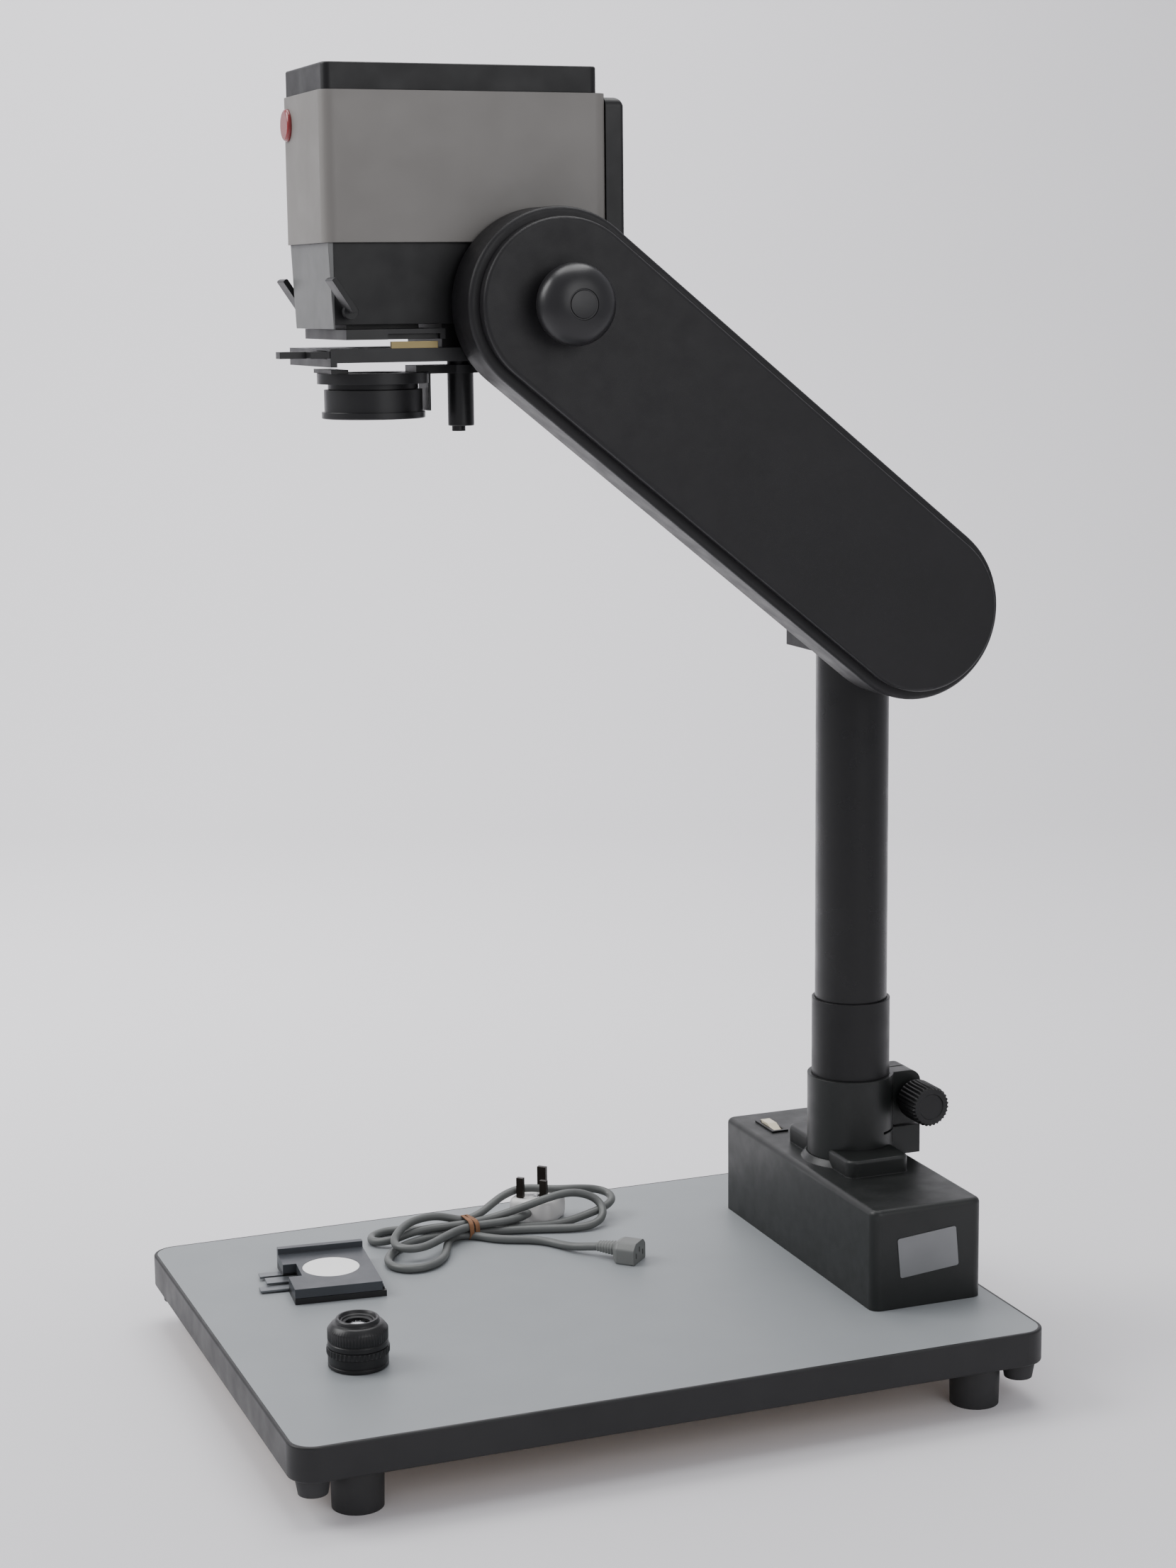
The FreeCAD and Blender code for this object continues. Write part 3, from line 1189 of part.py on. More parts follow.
def build_carrier():
    """The negative carrier: a base frame, a hinged lid with an opal window, and mask tabs."""
    half_l = CARRIER_LENGTH / 2
    half_w = CARRIER_WIDTH / 2
    base_z = CARRIER_BASE_HEIGHT
    lid_z0 = base_z + CLEAR
    lid_z1 = base_z + CARRIER_LID_HEIGHT
    rail = 6.0
    notch_half = 15.0
    notch_depth = 11.0
    frame = box(-half_l, half_l, -half_w, half_w, 0, base_z)
    frame = frame.cut(box(-18.0, 18.0, -18.0, 18.0, 0, base_z))
    frame = frame.cut(box(-half_l, -half_l + notch_depth, -notch_half, notch_half, 0, base_z))
    pin_x = half_l - 3.0
    pin_z = base_z + CLEAR / 2
    ear_half = 8.0
    knuckle_r = 2.4
    pin_r = 1.2
    ears = []
    for y in (-half_w + 14.0, half_w - 14.0):
        tunnel = box(pin_x - 3.2, half_l, y - ear_half - 0.4, y + ear_half + 0.4, base_z - 3.0, base_z)
        frame = frame.cut(tunnel)
        pin = disc_y(pin_x, pin_z, y - ear_half - 2.0, y + ear_half + 2.0, pin_r)
        posts = []
        for end in (-1, 1):
            y0 = y + end * (ear_half + 0.4)
            y1 = y + end * (ear_half + 2.0)
            posts.append(box(pin_x - 2.0, pin_x + 2.0, min(y0, y1), max(y0, y1), base_z - 1.0, pin_z + 1.6))
        ears.append(fuse([pin] + posts))
    frame = fuse([frame] + ears)
    export("carrier_base", on_board(frame, CARRIER_SPOT, CARRIER_YAW))

    lid_end = pin_x - CLEAR
    lid = box(-half_l, lid_end, -half_w, half_w, lid_z0, lid_z1)
    tongue = box(-half_l, -half_l + notch_depth, -notch_half, notch_half, lid_z0, lid_z1)
    lid = lid.cut(tongue)
    back_rail = box(-half_l, lid_end, half_w - rail, half_w, lid_z1, lid_z1 + 5.0)
    lid = lid.fuse(back_rail).removeSplitter()
    hollow = box(
        -half_l + notch_depth + 3.0,
        half_l - 9.0,
        -half_w + rail,
        half_w - rail,
        lid_z0,
        lid_z1 - 3.0,
    )
    lid = lid.cut(hollow)
    lid = lid.cut(disc_z(0, 0, lid_z1 - 3.0, lid_z1, OPAL_R - 1.5))
    lid = lid.cut(disc_z(0, 0, lid_z1 - 1.8, lid_z1, OPAL_R))
    for y in (-half_w + 14.0, half_w - 14.0):
        gap = ear_half + 2.4
        lid = lid.cut(box(pin_x - 3.2, lid_end, y - gap, y + gap, lid_z0, base_z + 3.2))
        knuckle = disc_y(pin_x, pin_z, y - ear_half, y + ear_half, knuckle_r)
        web = box(pin_x - 1.5, pin_x + 1.5, y - ear_half, y + ear_half, pin_z + 1.0, base_z + 3.4)
        lid = fuse([lid, knuckle, web])
        lid = lid.cut(disc_y(pin_x, pin_z, y - ear_half, y + ear_half, pin_r + RUNNING))
    export("carrier_lid", on_board(lid, CARRIER_SPOT, CARRIER_YAW))
    opal = disc_z(0, 0, lid_z1 - 1.8, lid_z1 - 0.3, OPAL_R)
    export("carrier_opal", on_board(opal, CARRIER_SPOT, CARRIER_YAW))

    # Three mask tabs stick out to the front at their own heights and lengths.
    tabs = []
    spots = ((-2.0, 11.0, 27.0, 3.0), (-14.0, -3.5, 34.0, 1.2), (16.5, 26.0, 19.0, 2.4))
    for y0, y1, reach, z in spots:
        start = -half_l + (notch_depth if y0 < notch_half else 0.0)
        tabs.append(box(start - reach, start, y0, y1, z, z + 1.6))
    export("carrier_mask_tabs", on_board(Part.makeCompound(tabs), CARRIER_SPOT, CARRIER_YAW))


# ---------------------------------------------------------------- mains lead
# All places are from the board's front edge and centre line, and heights from its top.
# The lead's route from the connector's boot to the tie, and from the plug to the tie.
CONNECTOR_ROUTE = [
    (346.6, 65.4, 8.5),
    (340.5, 71.5, 7.4),
    (334.5, 77.8, 6.0),
    (329.5, 85.5, 4.6),
    (324.5, 94.5, 3.8),
    (317.5, 106.5, 3.6),
    (308.0, 115.5, 3.7),
    (296.0, 121.5, 3.6),
    (284.0, 127.0, 3.7),
    (274.5, 135.0, 3.6),
    (269.0, 141.9, 3.7),
]
PLUG_ROUTE = [
    (320.0, 164.7, 10.5),
    (313.6, 158.4, 10.8),
    (305.9, 153.9, 11.0),
    (297.2, 151.5, 10.9),
]


def board_point(p):
    return V(BOARD_FRONT + p[0], p[1], BOARD_TOP + p[2])


def lead_tube(route, name):
    """A round lead along straight runs joined by tangent arcs, each as large as its runs allow."""
    points = [board_point(p) for p in route]
    edges = []
    start = points[0]
    for i in range(1, len(points) - 1):
        before = points[i] - points[i - 1]
        after = points[i + 1] - points[i]
        turn = before.getAngle(after)
        cut = 0.45 * min(before.Length, after.Length)
        radius = cut / tan(turn / 2)
        into = before.normalize()
        out_of = after.normalize()
        arc_start = points[i] - into * cut
        arc_end = points[i] + out_of * cut
        inward = (out_of - into).normalize()
        centre = points[i] + inward * (radius / cos(turn / 2))
        middle = centre - inward * radius
        edges.append(Part.LineSegment(start, arc_start).toShape())
        edges.append(Part.Arc(arc_start, middle, arc_end).toShape())
        start = arc_end
        print(name, "bend", i, "radius", round(radius, 1), "turn", round(turn * 180 / pi, 1))
    edges.append(Part.LineSegment(start, points[-1]).toShape())
    path = Part.Wire(edges)
    section = Part.Wire(Part.makeCircle(CORD_R, points[0], points[1] - points[0]))
    tube = path.makePipeShell([section], True, False)
    expected = pi * CORD_R**2 * path.Length
    print(name, "length", round(path.Length, 1), "volume share", round(tube.Volume / expected, 4))
    return tube


def hank_lobe(p, rp, q, rq, height):
    """One lobe of the coiled lead, lying on the board from a narrow end to a wide one."""
    return capsule(
        (BOARD_FRONT + p[0], p[1]),
        (BOARD_FRONT + q[0], q[1]),
        rp,
        rq,
        V(0, 0, height),
        lambda x, y: V(x, y, BOARD_TOP),
    )


def pin_blocks(room):
    """The plug's three standard pins, in the plug's own axes, each larger all round by room."""
    earth = (11.0, 0.0, 2.0, 4.0, 22.7)
    line = (-11.2, 11.1, 2.0, 3.15, 17.7)
    neutral = (-11.2, -11.1, 2.0, 3.15, 17.7)
    pins = []
    for x, y, half_x, half_y, length in (earth, line, neutral):
        hx, hy = half_x + room, half_y + room
        pins.append(box(x - hx, x + hx, y - hy, y + hy, PLUG_HEIGHT, PLUG_HEIGHT + length + room))
    return pins


def build_lead():
    connector_end = lead_tube(CONNECTOR_ROUTE, "connector end")
    plug_end = lead_tube(PLUG_ROUTE, "plug end")
    export("lead_connector_end", connector_end)
    export("lead_plug_end", plug_end)

    half_w = TIE_HALF_WIDTH
    tie_outer = rounded_box(-TIE_HALF_LENGTH, TIE_HALF_LENGTH, -half_w, half_w, 0, HANK_HEIGHT + TIE_WALL, 0.5)
    tie_inner = box(
        -TIE_HALF_LENGTH,
        TIE_HALF_LENGTH,
        -half_w + TIE_WALL,
        half_w - TIE_WALL,
        TIE_WALL,
        HANK_HEIGHT,
    )
    tie = on_board(tie_outer.cut(tie_inner), TIE_SPOT, TIE_HEADING)
    export("lead_tie", tie)
    lobes = [hank_lobe(TIE_SPOT, HANK_WAIST_R, centre, r, HANK_HEIGHT) for centre, r in HANK_LOBES]
    near, near_r, far, far_r = HANK_CREST
    lobes.append(hank_lobe(near, near_r, far, far_r, HANK_CREST_HEIGHT))
    room = PLUG_HALF + CLEAR
    plug_room = on_board(box(-room, room, -room, room, 0, PLUG_HEIGHT + CLEAR), PLUG_SPOT, PLUG_YAW)
    pin_room = on_board(Part.makeCompound(pin_blocks(CLEAR)), PLUG_SPOT, PLUG_YAW)
    hank = fuse(lobes).cut(plug_room).cut(pin_room).cut(tie)
    export("lead_hank", hank.cut(connector_end).cut(plug_end))

    # The connector points along its heading, with the boot behind it and three slots in its face.
    mid = CONNECTOR_HEIGHT / 2
    half_w = CONNECTOR_HALF_WIDTH
    corner = CONNECTOR_CORNER
    outline = [
        V(-CONNECTOR_LENGTH, -half_w, 0),
        V(-CONNECTOR_LENGTH, half_w, 0),
        V(-CONNECTOR_LENGTH, half_w, CONNECTOR_HEIGHT - corner),
        V(-CONNECTOR_LENGTH, half_w - corner, CONNECTOR_HEIGHT),
        V(-CONNECTOR_LENGTH, -half_w + corner, CONNECTOR_HEIGHT),
        V(-CONNECTOR_LENGTH, -half_w, CONNECTOR_HEIGHT - corner),
    ]
    body = prism(outline, V(CONNECTOR_LENGTH, 0, 0))
    boot = Part.makeCone(
        CORD_R + 1.0, CONNECTOR_BOOT_R, CONNECTOR_BOOT, V(-CONNECTOR_LENGTH - CONNECTOR_BOOT, 0, mid), V(1, 0, 0)
    )
    body = fuse([body, boot])
    for dy, dz in ((-7.0, -2.0), (7.0, -2.0), (0.0, 2.0)):
        body = body.cut(box(-15.0, 0, dy - 1.2, dy + 1.2, mid + dz - 2.4, mid + dz + 2.4))
    export("iec_connector", on_board(body, CONNECTOR_FACE, CONNECTOR_HEADING))

    plug = rounded_box(-PLUG_HALF, PLUG_HALF, -PLUG_HALF, PLUG_HALF, 0, PLUG_HEIGHT, PLUG_CORNER_R)
    plug = round_top(plug, 2.0)
    export("mains_plug", on_board(plug, PLUG_SPOT, PLUG_YAW))
    export("plug_pins", on_board(Part.makeCompound(pin_blocks(0.0)), PLUG_SPOT, PLUG_YAW))


def main():
    os.makedirs("parts", exist_ok=True)
    build_baseboard()
    build_foot_housing()
    build_power_supply()
    build_switch()
    build_data_label()
    build_collar()
    build_column()
    build_arm()
    build_grip()
    build_level_link()
    build_head_shells()
    build_head_inside()
    build_press_frame()
    build_lift_lever()
    build_stage()
    build_lens_carriage()
    build_loose_lens()
    build_carrier()
    build_lead()


main()
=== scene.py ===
import logging
from dataclasses import dataclass
from enum import Enum
from functools import cache
from math import cos, radians, sin

import bmesh
import bpy
import numpy as np
from mathutils import Matrix, Vector


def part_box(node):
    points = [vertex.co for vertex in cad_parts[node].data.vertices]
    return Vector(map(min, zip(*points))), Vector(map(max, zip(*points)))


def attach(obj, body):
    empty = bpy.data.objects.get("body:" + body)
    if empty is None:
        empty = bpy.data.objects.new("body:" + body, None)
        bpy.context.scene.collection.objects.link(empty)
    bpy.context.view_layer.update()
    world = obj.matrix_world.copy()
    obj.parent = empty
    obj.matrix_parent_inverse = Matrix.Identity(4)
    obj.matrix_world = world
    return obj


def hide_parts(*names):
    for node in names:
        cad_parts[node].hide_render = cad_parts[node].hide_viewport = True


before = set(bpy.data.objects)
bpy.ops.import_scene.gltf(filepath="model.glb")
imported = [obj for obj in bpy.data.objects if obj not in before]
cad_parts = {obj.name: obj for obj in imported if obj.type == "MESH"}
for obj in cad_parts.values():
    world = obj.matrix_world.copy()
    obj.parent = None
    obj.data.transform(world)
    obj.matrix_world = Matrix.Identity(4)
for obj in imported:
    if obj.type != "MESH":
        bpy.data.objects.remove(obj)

# A tabletop photographic enlarger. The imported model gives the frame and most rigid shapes.
# This file dresses every node with a procedural finish and adds the pieces that need finer
# modelling: the loose lead, the taking lens, the hand grip and the small trims.

LOG = logging.getLogger("enlarger")
MM = 0.001
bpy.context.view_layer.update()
BOARD_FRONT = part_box("baseboard_edge_band")[0].x
BOARD_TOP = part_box("baseboard_laminate")[1].z
MERGE_DISTANCE = 1e-6
SHARP_ANGLE = 38.0


def on_board(points: np.ndarray) -> np.ndarray:
    """Places measured in mm from the board's front edge, centre line and top, in metres.

    Args:
        points: an array whose last axis is (along, across, up) in millimetres.

    Returns:
        The same array in the frame's own metres.
    """
    shifted = np.asarray(points, float) * MM
    return shifted + np.array([BOARD_FRONT, 0.0, BOARD_TOP])


# ------------------------------------------------------------------------- finishes
class Grain(Enum):
    """The kinds of surface that this object has."""

    PAINT = "paint"
    CAST = "cast"
    BRUSHED = "brushed"
    TURNED = "turned"
    MOULDED = "moulded"
    RUBBER = "rubber"
    CHIPBOARD = "chipboard"
    LAMINATE = "laminate"
    GLASS = "glass"
    VINYL = "vinyl"


@dataclass(frozen=True)
class Finish:
    """One surface finish, made as a procedural material on Object coordinates.

    The colour drifts slowly between a darker and a lighter shade over drift_mm, a grain of
    grain_mm stands relief_mm proud, the gloss varies by gloss_drift, and edges are eased by
    edge_mm in the shading.
    """

    name: str
    colour: tuple[float, float, float]
    grain: Grain
    roughness: float
    metallic: float = 0.0
    shade: float = 0.10
    drift_mm: float = 70.0
    grain_mm: float = 0.8
    relief_mm: float = 0.02
    gloss_drift: float = 0.06
    edge_mm: float = 0.7
    coat: float = 0.0
    sheen: float = 0.0
    specular: float = 0.5

    @cache
    def material(self) -> bpy.types.Material:
        """Make the material the first time, and give the same one after that.

        Returns:
            The finish's node material.
        """
        made = bpy.data.materials.new(f"{self.name}_finish")
        made.use_nodes = True
        made.diffuse_color = (*self.colour, 1.0)
        nodes = made.node_tree.nodes
        links = made.node_tree.links
        shader = nodes["Principled BSDF"]
        shader.inputs["Metallic"].default_value = self.metallic
        shader.inputs["Coat Weight"].default_value = self.coat
        shader.inputs["Coat Roughness"].default_value = 0.25
        shader.inputs["Sheen Weight"].default_value = self.sheen
        shader.inputs["Specular IOR Level"].default_value = self.specular
        place = nodes.new("ShaderNodeTexCoord").outputs["Object"]
        if self.grain is Grain.GLASS:
            shader.inputs["Transmission Weight"].default_value = 1.0
            shader.inputs["IOR"].default_value = 1.52
        links.new(self.drifting_colour(made, place), shader.inputs["Base Color"])
        links.new(self.drifting_gloss(made, place), shader.inputs["Roughness"])
        if self.grain is not Grain.GLASS:
            links.new(self.relief(made, place), shader.inputs["Normal"])
        return made

    def noise(
        self, made: bpy.types.Material, place: bpy.types.NodeSocket, size_mm: float, detail: float
    ) -> bpy.types.NodeSocket:
        """A soft noise whose cells are size_mm across.

        Args:
            made: the material that it is for.
            place: the coordinates that it reads.
            size_mm: the size of a cell.
            detail: how many finer layers it has.

        Returns:
            The noise's value.
        """
        node = made.node_tree.nodes.new("ShaderNodeTexNoise")
        node.inputs["Scale"].default_value = 1.0 / (size_mm * MM)
        node.inputs["Detail"].default_value = detail
        made.node_tree.links.new(place, node.inputs["Vector"])
        return node.outputs["Fac"]

    def stretched(
        self, made: bpy.types.Material, place: bpy.types.NodeSocket, stretch: tuple[float, float, float]
    ) -> bpy.types.NodeSocket:
        """The coordinates drawn out along one way, as brushing or turning leaves its lines.

        Args:
            made: the material that it is for.
            place: the coordinates that it reads.
            stretch: the scale along each axis.

        Returns:
            The scaled coordinates.
        """
        node = made.node_tree.nodes.new("ShaderNodeMapping")
        node.inputs["Scale"].default_value = stretch
        made.node_tree.links.new(place, node.inputs["Vector"])
        return node.outputs["Vector"]

    def ranged(
        self, made: bpy.types.Material, value: bpy.types.NodeSocket, low: float, high: float
    ) -> bpy.types.NodeSocket:
        """A value from 0.3 to 0.7 spread over low to high.

        Args:
            made: the material that it is for.
            value: the value to spread.
            low: the result at 0.3.
            high: the result at 0.7.

        Returns:
            The spread value.
        """
        node = made.node_tree.nodes.new("ShaderNodeMapRange")
        node.inputs["From Min"].default_value = 0.3
        node.inputs["From Max"].default_value = 0.7
        node.inputs["To Min"].default_value = low
        node.inputs["To Max"].default_value = high
        made.node_tree.links.new(value, node.inputs["Value"])
        return node.outputs["Result"]

    def drifting_colour(self, made: bpy.types.Material, place: bpy.types.NodeSocket) -> bpy.types.NodeSocket:
        """The finish's colour, drifting between its darker and lighter shades.

        Args:
            made: the material that it is for.
            place: the coordinates that it reads.

        Returns:
            The colour.
        """
        slow = self.noise(made, place, self.drift_mm, 3.0)
        if self.grain in (Grain.CHIPBOARD, Grain.LAMINATE):
            fine = self.noise(made, place, self.grain_mm, 2.0)
            both = made.node_tree.nodes.new("ShaderNodeMath")
            both.operation = "MULTIPLY_ADD"
            both.inputs[1].default_value = 0.5
            made.node_tree.links.new(fine, both.inputs[0])
            half = made.node_tree.nodes.new("ShaderNodeMath")
            half.operation = "MULTIPLY"
            half.inputs[1].default_value = 0.5
            made.node_tree.links.new(slow, half.inputs[0])
            made.node_tree.links.new(half.outputs[0], both.inputs[2])
            slow = both.outputs[0]
        mix = made.node_tree.nodes.new("ShaderNodeMix")
        mix.data_type = "RGBA"
        mix.inputs[6].default_value = (*[c * (1.0 - self.shade) for c in self.colour], 1.0)
        mix.inputs[7].default_value = (*[min(1.0, c * (1.0 + self.shade)) for c in self.colour], 1.0)
        made.node_tree.links.new(self.ranged(made, slow, 0.0, 1.0), mix.inputs[0])
        return mix.outputs[2]

    def drifting_gloss(self, made: bpy.types.Material, place: bpy.types.NodeSocket) -> bpy.types.NodeSocket:
        """The finish's roughness, a little uneven as handling leaves it.

        Args:
            made: the material that it is for.
            place: the coordinates that it reads.

        Returns:
            The roughness.
        """
        value = self.noise(made, place, self.drift_mm * 0.35, 4.0)
        low = max(0.02, self.roughness - self.gloss_drift)
        return self.ranged(made, value, low, min(1.0, self.roughness + self.gloss_drift))

    def relief(self, made: bpy.types.Material, place: bpy.types.NodeSocket) -> bpy.types.NodeSocket:
        """The grain as a bump over the eased edges.

        Args:
            made: the material that it is for.
            place: the coordinates that it reads.

        Returns:
            The surface normal.
        """
        nodes = made.node_tree.nodes
        links = made.node_tree.links
        if self.grain is Grain.BRUSHED:
            place = self.stretched(made, place, (0.06, 1.0, 1.0))
        elif self.grain is Grain.TURNED:
            place = self.stretched(made, place, (0.08, 0.08, 1.0))
        height = self.noise(made, place, self.grain_mm, 5.0 if self.grain is Grain.CAST else 2.0)
        bump = nodes.new("ShaderNodeBump")
        bump.inputs["Strength"].default_value = 1.0
        bump.inputs["Distance"].default_value = self.relief_mm * MM
        links.new(height, bump.inputs["Height"])
        if self.edge_mm > 0.0:
            eased = nodes.new("ShaderNodeBevel")
            eased.samples = 4
            eased.inputs["Radius"].default_value = self.edge_mm * MM
            links.new(eased.outputs["Normal"], bump.inputs["Normal"])
        return bump.outputs["Normal"]

    def dress(self, piece: bpy.types.Object) -> bpy.types.Object:
        """Put the finish on every slot of a piece.

        Args:
            piece: the object to dress.

        Returns:
            The same object.
        """
        made = self.material()
        if not piece.data.materials:
            piece.data.materials.append(made)
        for index in range(len(piece.material_slots)):
            piece.material_slots[index].material = made
        return piece


CHIPBOARD = Finish(
    "chipboard", (0.42, 0.32, 0.22), Grain.CHIPBOARD, 0.85, shade=0.35, drift_mm=12.0, grain_mm=1.6
)
LAMINATE = Finish(
    "board_laminate", (0.235, 0.25, 0.26), Grain.LAMINATE, 0.50, shade=0.035, drift_mm=160.0, grain_mm=0.5,
    relief_mm=0.012, gloss_drift=0.04, edge_mm=0.0,
)
EDGE_BAND = Finish(
    "edge_band", (0.0090, 0.0090, 0.0098), Grain.MOULDED, 0.44, shade=0.15, relief_mm=0.015, specular=0.35
)
RUBBER = Finish(
    "black_rubber", (0.018, 0.018, 0.019), Grain.RUBBER, 0.72, shade=0.25, grain_mm=0.5, relief_mm=0.04
)
ZINC = Finish("zinc_steel", (0.55, 0.55, 0.54), Grain.TURNED, 0.34, metallic=1.0, relief_mm=0.01)
FOOT_PAINT = Finish(
    "foot_paint", (0.0090, 0.0102, 0.0098), Grain.PAINT, 0.42, shade=0.14, drift_mm=50.0, grain_mm=0.55,
    relief_mm=0.045, edge_mm=1.2, specular=0.40,
)
BLACK_PAINT = Finish(
    "black_paint", (0.0068, 0.0068, 0.0074), Grain.PAINT, 0.42, shade=0.12, drift_mm=60.0, grain_mm=0.5,
    relief_mm=0.04, edge_mm=1.0, specular=0.32,
)
COLUMN_BLACK = Finish(
    "column_black", (0.0055, 0.0055, 0.0060), Grain.TURNED, 0.30, shade=0.10, grain_mm=0.35, relief_mm=0.006,
    edge_mm=0.8, specular=0.34,
)
CASTING = Finish(
    "black_casting", (0.0082, 0.0078, 0.0088), Grain.CAST, 0.46, shade=0.12, drift_mm=45.0, grain_mm=0.6,
    relief_mm=0.07, edge_mm=1.4, specular=0.34,
)
CAST_GREY = Finish(
    "cast_grey", (0.16, 0.165, 0.17), Grain.CAST, 0.45, metallic=0.6, relief_mm=0.05, edge_mm=0.8
)
CASING_GREY = Finish(
    "casing_grey", (0.168, 0.160, 0.149), Grain.PAINT, 0.42, shade=0.05, drift_mm=90.0, grain_mm=0.5,
    relief_mm=0.02, edge_mm=1.0,
)
PANEL_GREY = Finish(
    "panel_grey", (0.125, 0.127, 0.125), Grain.PAINT, 0.40, shade=0.05, relief_mm=0.015, edge_mm=0.9
)
LAMINATIONS = Finish(
    "lamination_steel", (0.10, 0.10, 0.105), Grain.BRUSHED, 0.5, metallic=0.8, relief_mm=0.05
)
WINDING = Finish(
    "copper_winding", (0.50, 0.22, 0.09), Grain.BRUSHED, 0.35, metallic=0.9, relief_mm=0.08, edge_mm=2.0
)
BLACK_PLASTIC = Finish(
    "black_plastic", (0.0085, 0.0085, 0.009), Grain.MOULDED, 0.42, relief_mm=0.02, specular=0.35
)
CREAM_PLASTIC = Finish("cream_plastic", (0.62, 0.56, 0.42), Grain.MOULDED, 0.30, shade=0.05, relief_mm=0.008)
LABEL_PLATE = Finish(
    "label_plate", (0.20, 0.205, 0.21), Grain.BRUSHED, 0.38, metallic=0.7, shade=0.06, edge_mm=0.2
)
MACHINED = Finish("machined_steel", (0.42, 0.42, 0.43), Grain.TURNED, 0.28, metallic=1.0, relief_mm=0.01)
BRONZE = Finish("bronze", (0.46, 0.30, 0.13), Grain.TURNED, 0.42, metallic=1.0)
GRIP_BLACK = Finish(
    "grip_black", (0.0095, 0.0092, 0.0105), Grain.MOULDED, 0.34, relief_mm=0.02, edge_mm=0.0,
    specular=0.45
)
BADGE_RED = Finish(
    "badge_red", (0.22, 0.010, 0.012), Grain.MOULDED, 0.20, shade=0.08, relief_mm=0.004, coat=0.3
)
GLASS = Finish("coated_glass", (0.93, 0.95, 0.97), Grain.GLASS, 0.03, shade=0.01, gloss_drift=0.01)
LAMP_GLASS = Finish("lamp_glass", (0.95, 0.95, 0.95), Grain.GLASS, 0.05, shade=0.01, gloss_drift=0.02)
CERAMIC = Finish("socket_ceramic", (0.74, 0.72, 0.67), Grain.MOULDED, 0.5, shade=0.05)
DIFFUSER = Finish("white_diffuser", (0.85, 0.85, 0.83), Grain.MOULDED, 0.8, shade=0.02)
BRASS = Finish("brass_strip", (0.20, 0.16, 0.08), Grain.BRUSHED, 0.30, metallic=1.0, relief_mm=0.01)
ANODISED = Finish(
    "anodised_black", (0.0095, 0.0095, 0.0102), Grain.TURNED, 0.36, shade=0.1, relief_mm=0.008, edge_mm=0.5,
    specular=0.38,
)
OPAL = Finish("opal", (0.88, 0.88, 0.87), Grain.MOULDED, 0.22, shade=0.01, relief_mm=0.003)
LID_GREY = Finish(
    "lid_grey", (0.055, 0.060, 0.068), Grain.PAINT, 0.36, metallic=0.4, relief_mm=0.01, edge_mm=0.5
)
TAB_METAL = Finish("tab_metal", (0.16, 0.17, 0.18), Grain.BRUSHED, 0.32, metallic=0.9, edge_mm=0.3)
VINYL = Finish(
    "grey_vinyl", (0.095, 0.100, 0.097), Grain.VINYL, 0.46, shade=0.10, drift_mm=30.0, relief_mm=0.02,
    edge_mm=0.0
)
CONNECTOR_GREY = Finish(
    "connector_grey", (0.14, 0.145, 0.14), Grain.MOULDED, 0.5, relief_mm=0.03, edge_mm=0.6
)
TIE_BROWN = Finish(
    "tie_brown", (0.19, 0.085, 0.035), Grain.BRUSHED, 0.7, shade=0.25, drift_mm=6.0, relief_mm=0.08
)
PLUG_WHITE = Finish("plug_white", (0.62, 0.61, 0.60), Grain.MOULDED, 0.42, shade=0.04, relief_mm=0.015)
PIN_BRASS = Finish(
    "pin_brass", (0.035, 0.030, 0.026), Grain.BRUSHED, 0.4, metallic=0.9, shade=0.2, edge_mm=0.3
)
STUDIO_PAPER = Finish(
    "studio_paper", (0.72, 0.71, 0.73), Grain.PAINT, 0.8, shade=0.01, drift_mm=900.0, relief_mm=0.0,
    edge_mm=0.0,
)

NODE_FINISHES: dict[str, Finish] = {
    "baseboard_core": CHIPBOARD, "baseboard_laminate": LAMINATE, "baseboard_edge_band": EDGE_BAND,
    "main_feet": RUBBER, "corner_bumpers": RUBBER, "foot_screws": ZINC,
    "foot_housing": FOOT_PAINT, "transformer_core": LAMINATIONS, "transformer_windings": WINDING,
    "mains_inlet": BLACK_PLASTIC, "switch_bezel": BLACK_PLASTIC, "switch_rocker": CREAM_PLASTIC,
    "data_label": LABEL_PLATE, "clamp_collar": FOOT_PAINT, "clamp_knob": BLACK_PLASTIC,
    "clamp_screw": MACHINED, "column_sleeve": BLACK_PAINT, "column_tube": COLUMN_BLACK,
    "column_head": CASTING, "arm_pivot_shaft": MACHINED, "focus_cam": MACHINED,
    "counterbalance_spring": MACHINED, "arm_body": CASTING, "arm_cover": CASTING,
    "arm_bushes": BRONZE, "level_link": MACHINED, "grip_knob": GRIP_BLACK,
    "head_chassis": CAST_GREY, "head_pivot_shaft": MACHINED, "lamp_casing": CASING_GREY,
    "casing_cap": BLACK_PAINT, "rear_cover": BLACK_PLASTIC, "lower_housing": BLACK_PAINT,
    "front_panel": PANEL_GREY, "badge_disc": BADGE_RED, "halogen_lamp": LAMP_GLASS,
    "lamp_socket": CERAMIC, "mixing_box": DIFFUSER, "press_frame": ANODISED,
    "lift_lever": BLACK_PLASTIC, "negative_stage": ANODISED, "stage_spring_strip": BRASS,
    "guide_post": ANODISED, "mask_slide": ANODISED, "lens_carriage": ANODISED,
    "focus_ring": ANODISED, "lens_barrel": ANODISED, "lens_aperture_ring": ANODISED,
    "lens_glass": GLASS, "carrier_base": ANODISED, "carrier_lid": LID_GREY, "carrier_opal": OPAL,
    "carrier_mask_tabs": TAB_METAL, "lead_connector_end": VINYL, "lead_plug_end": VINYL,
    "lead_hank": VINYL, "lead_tie": TIE_BROWN, "iec_connector": CONNECTOR_GREY,
    "mains_plug": PLUG_WHITE, "plug_pins": PIN_BRASS,
}


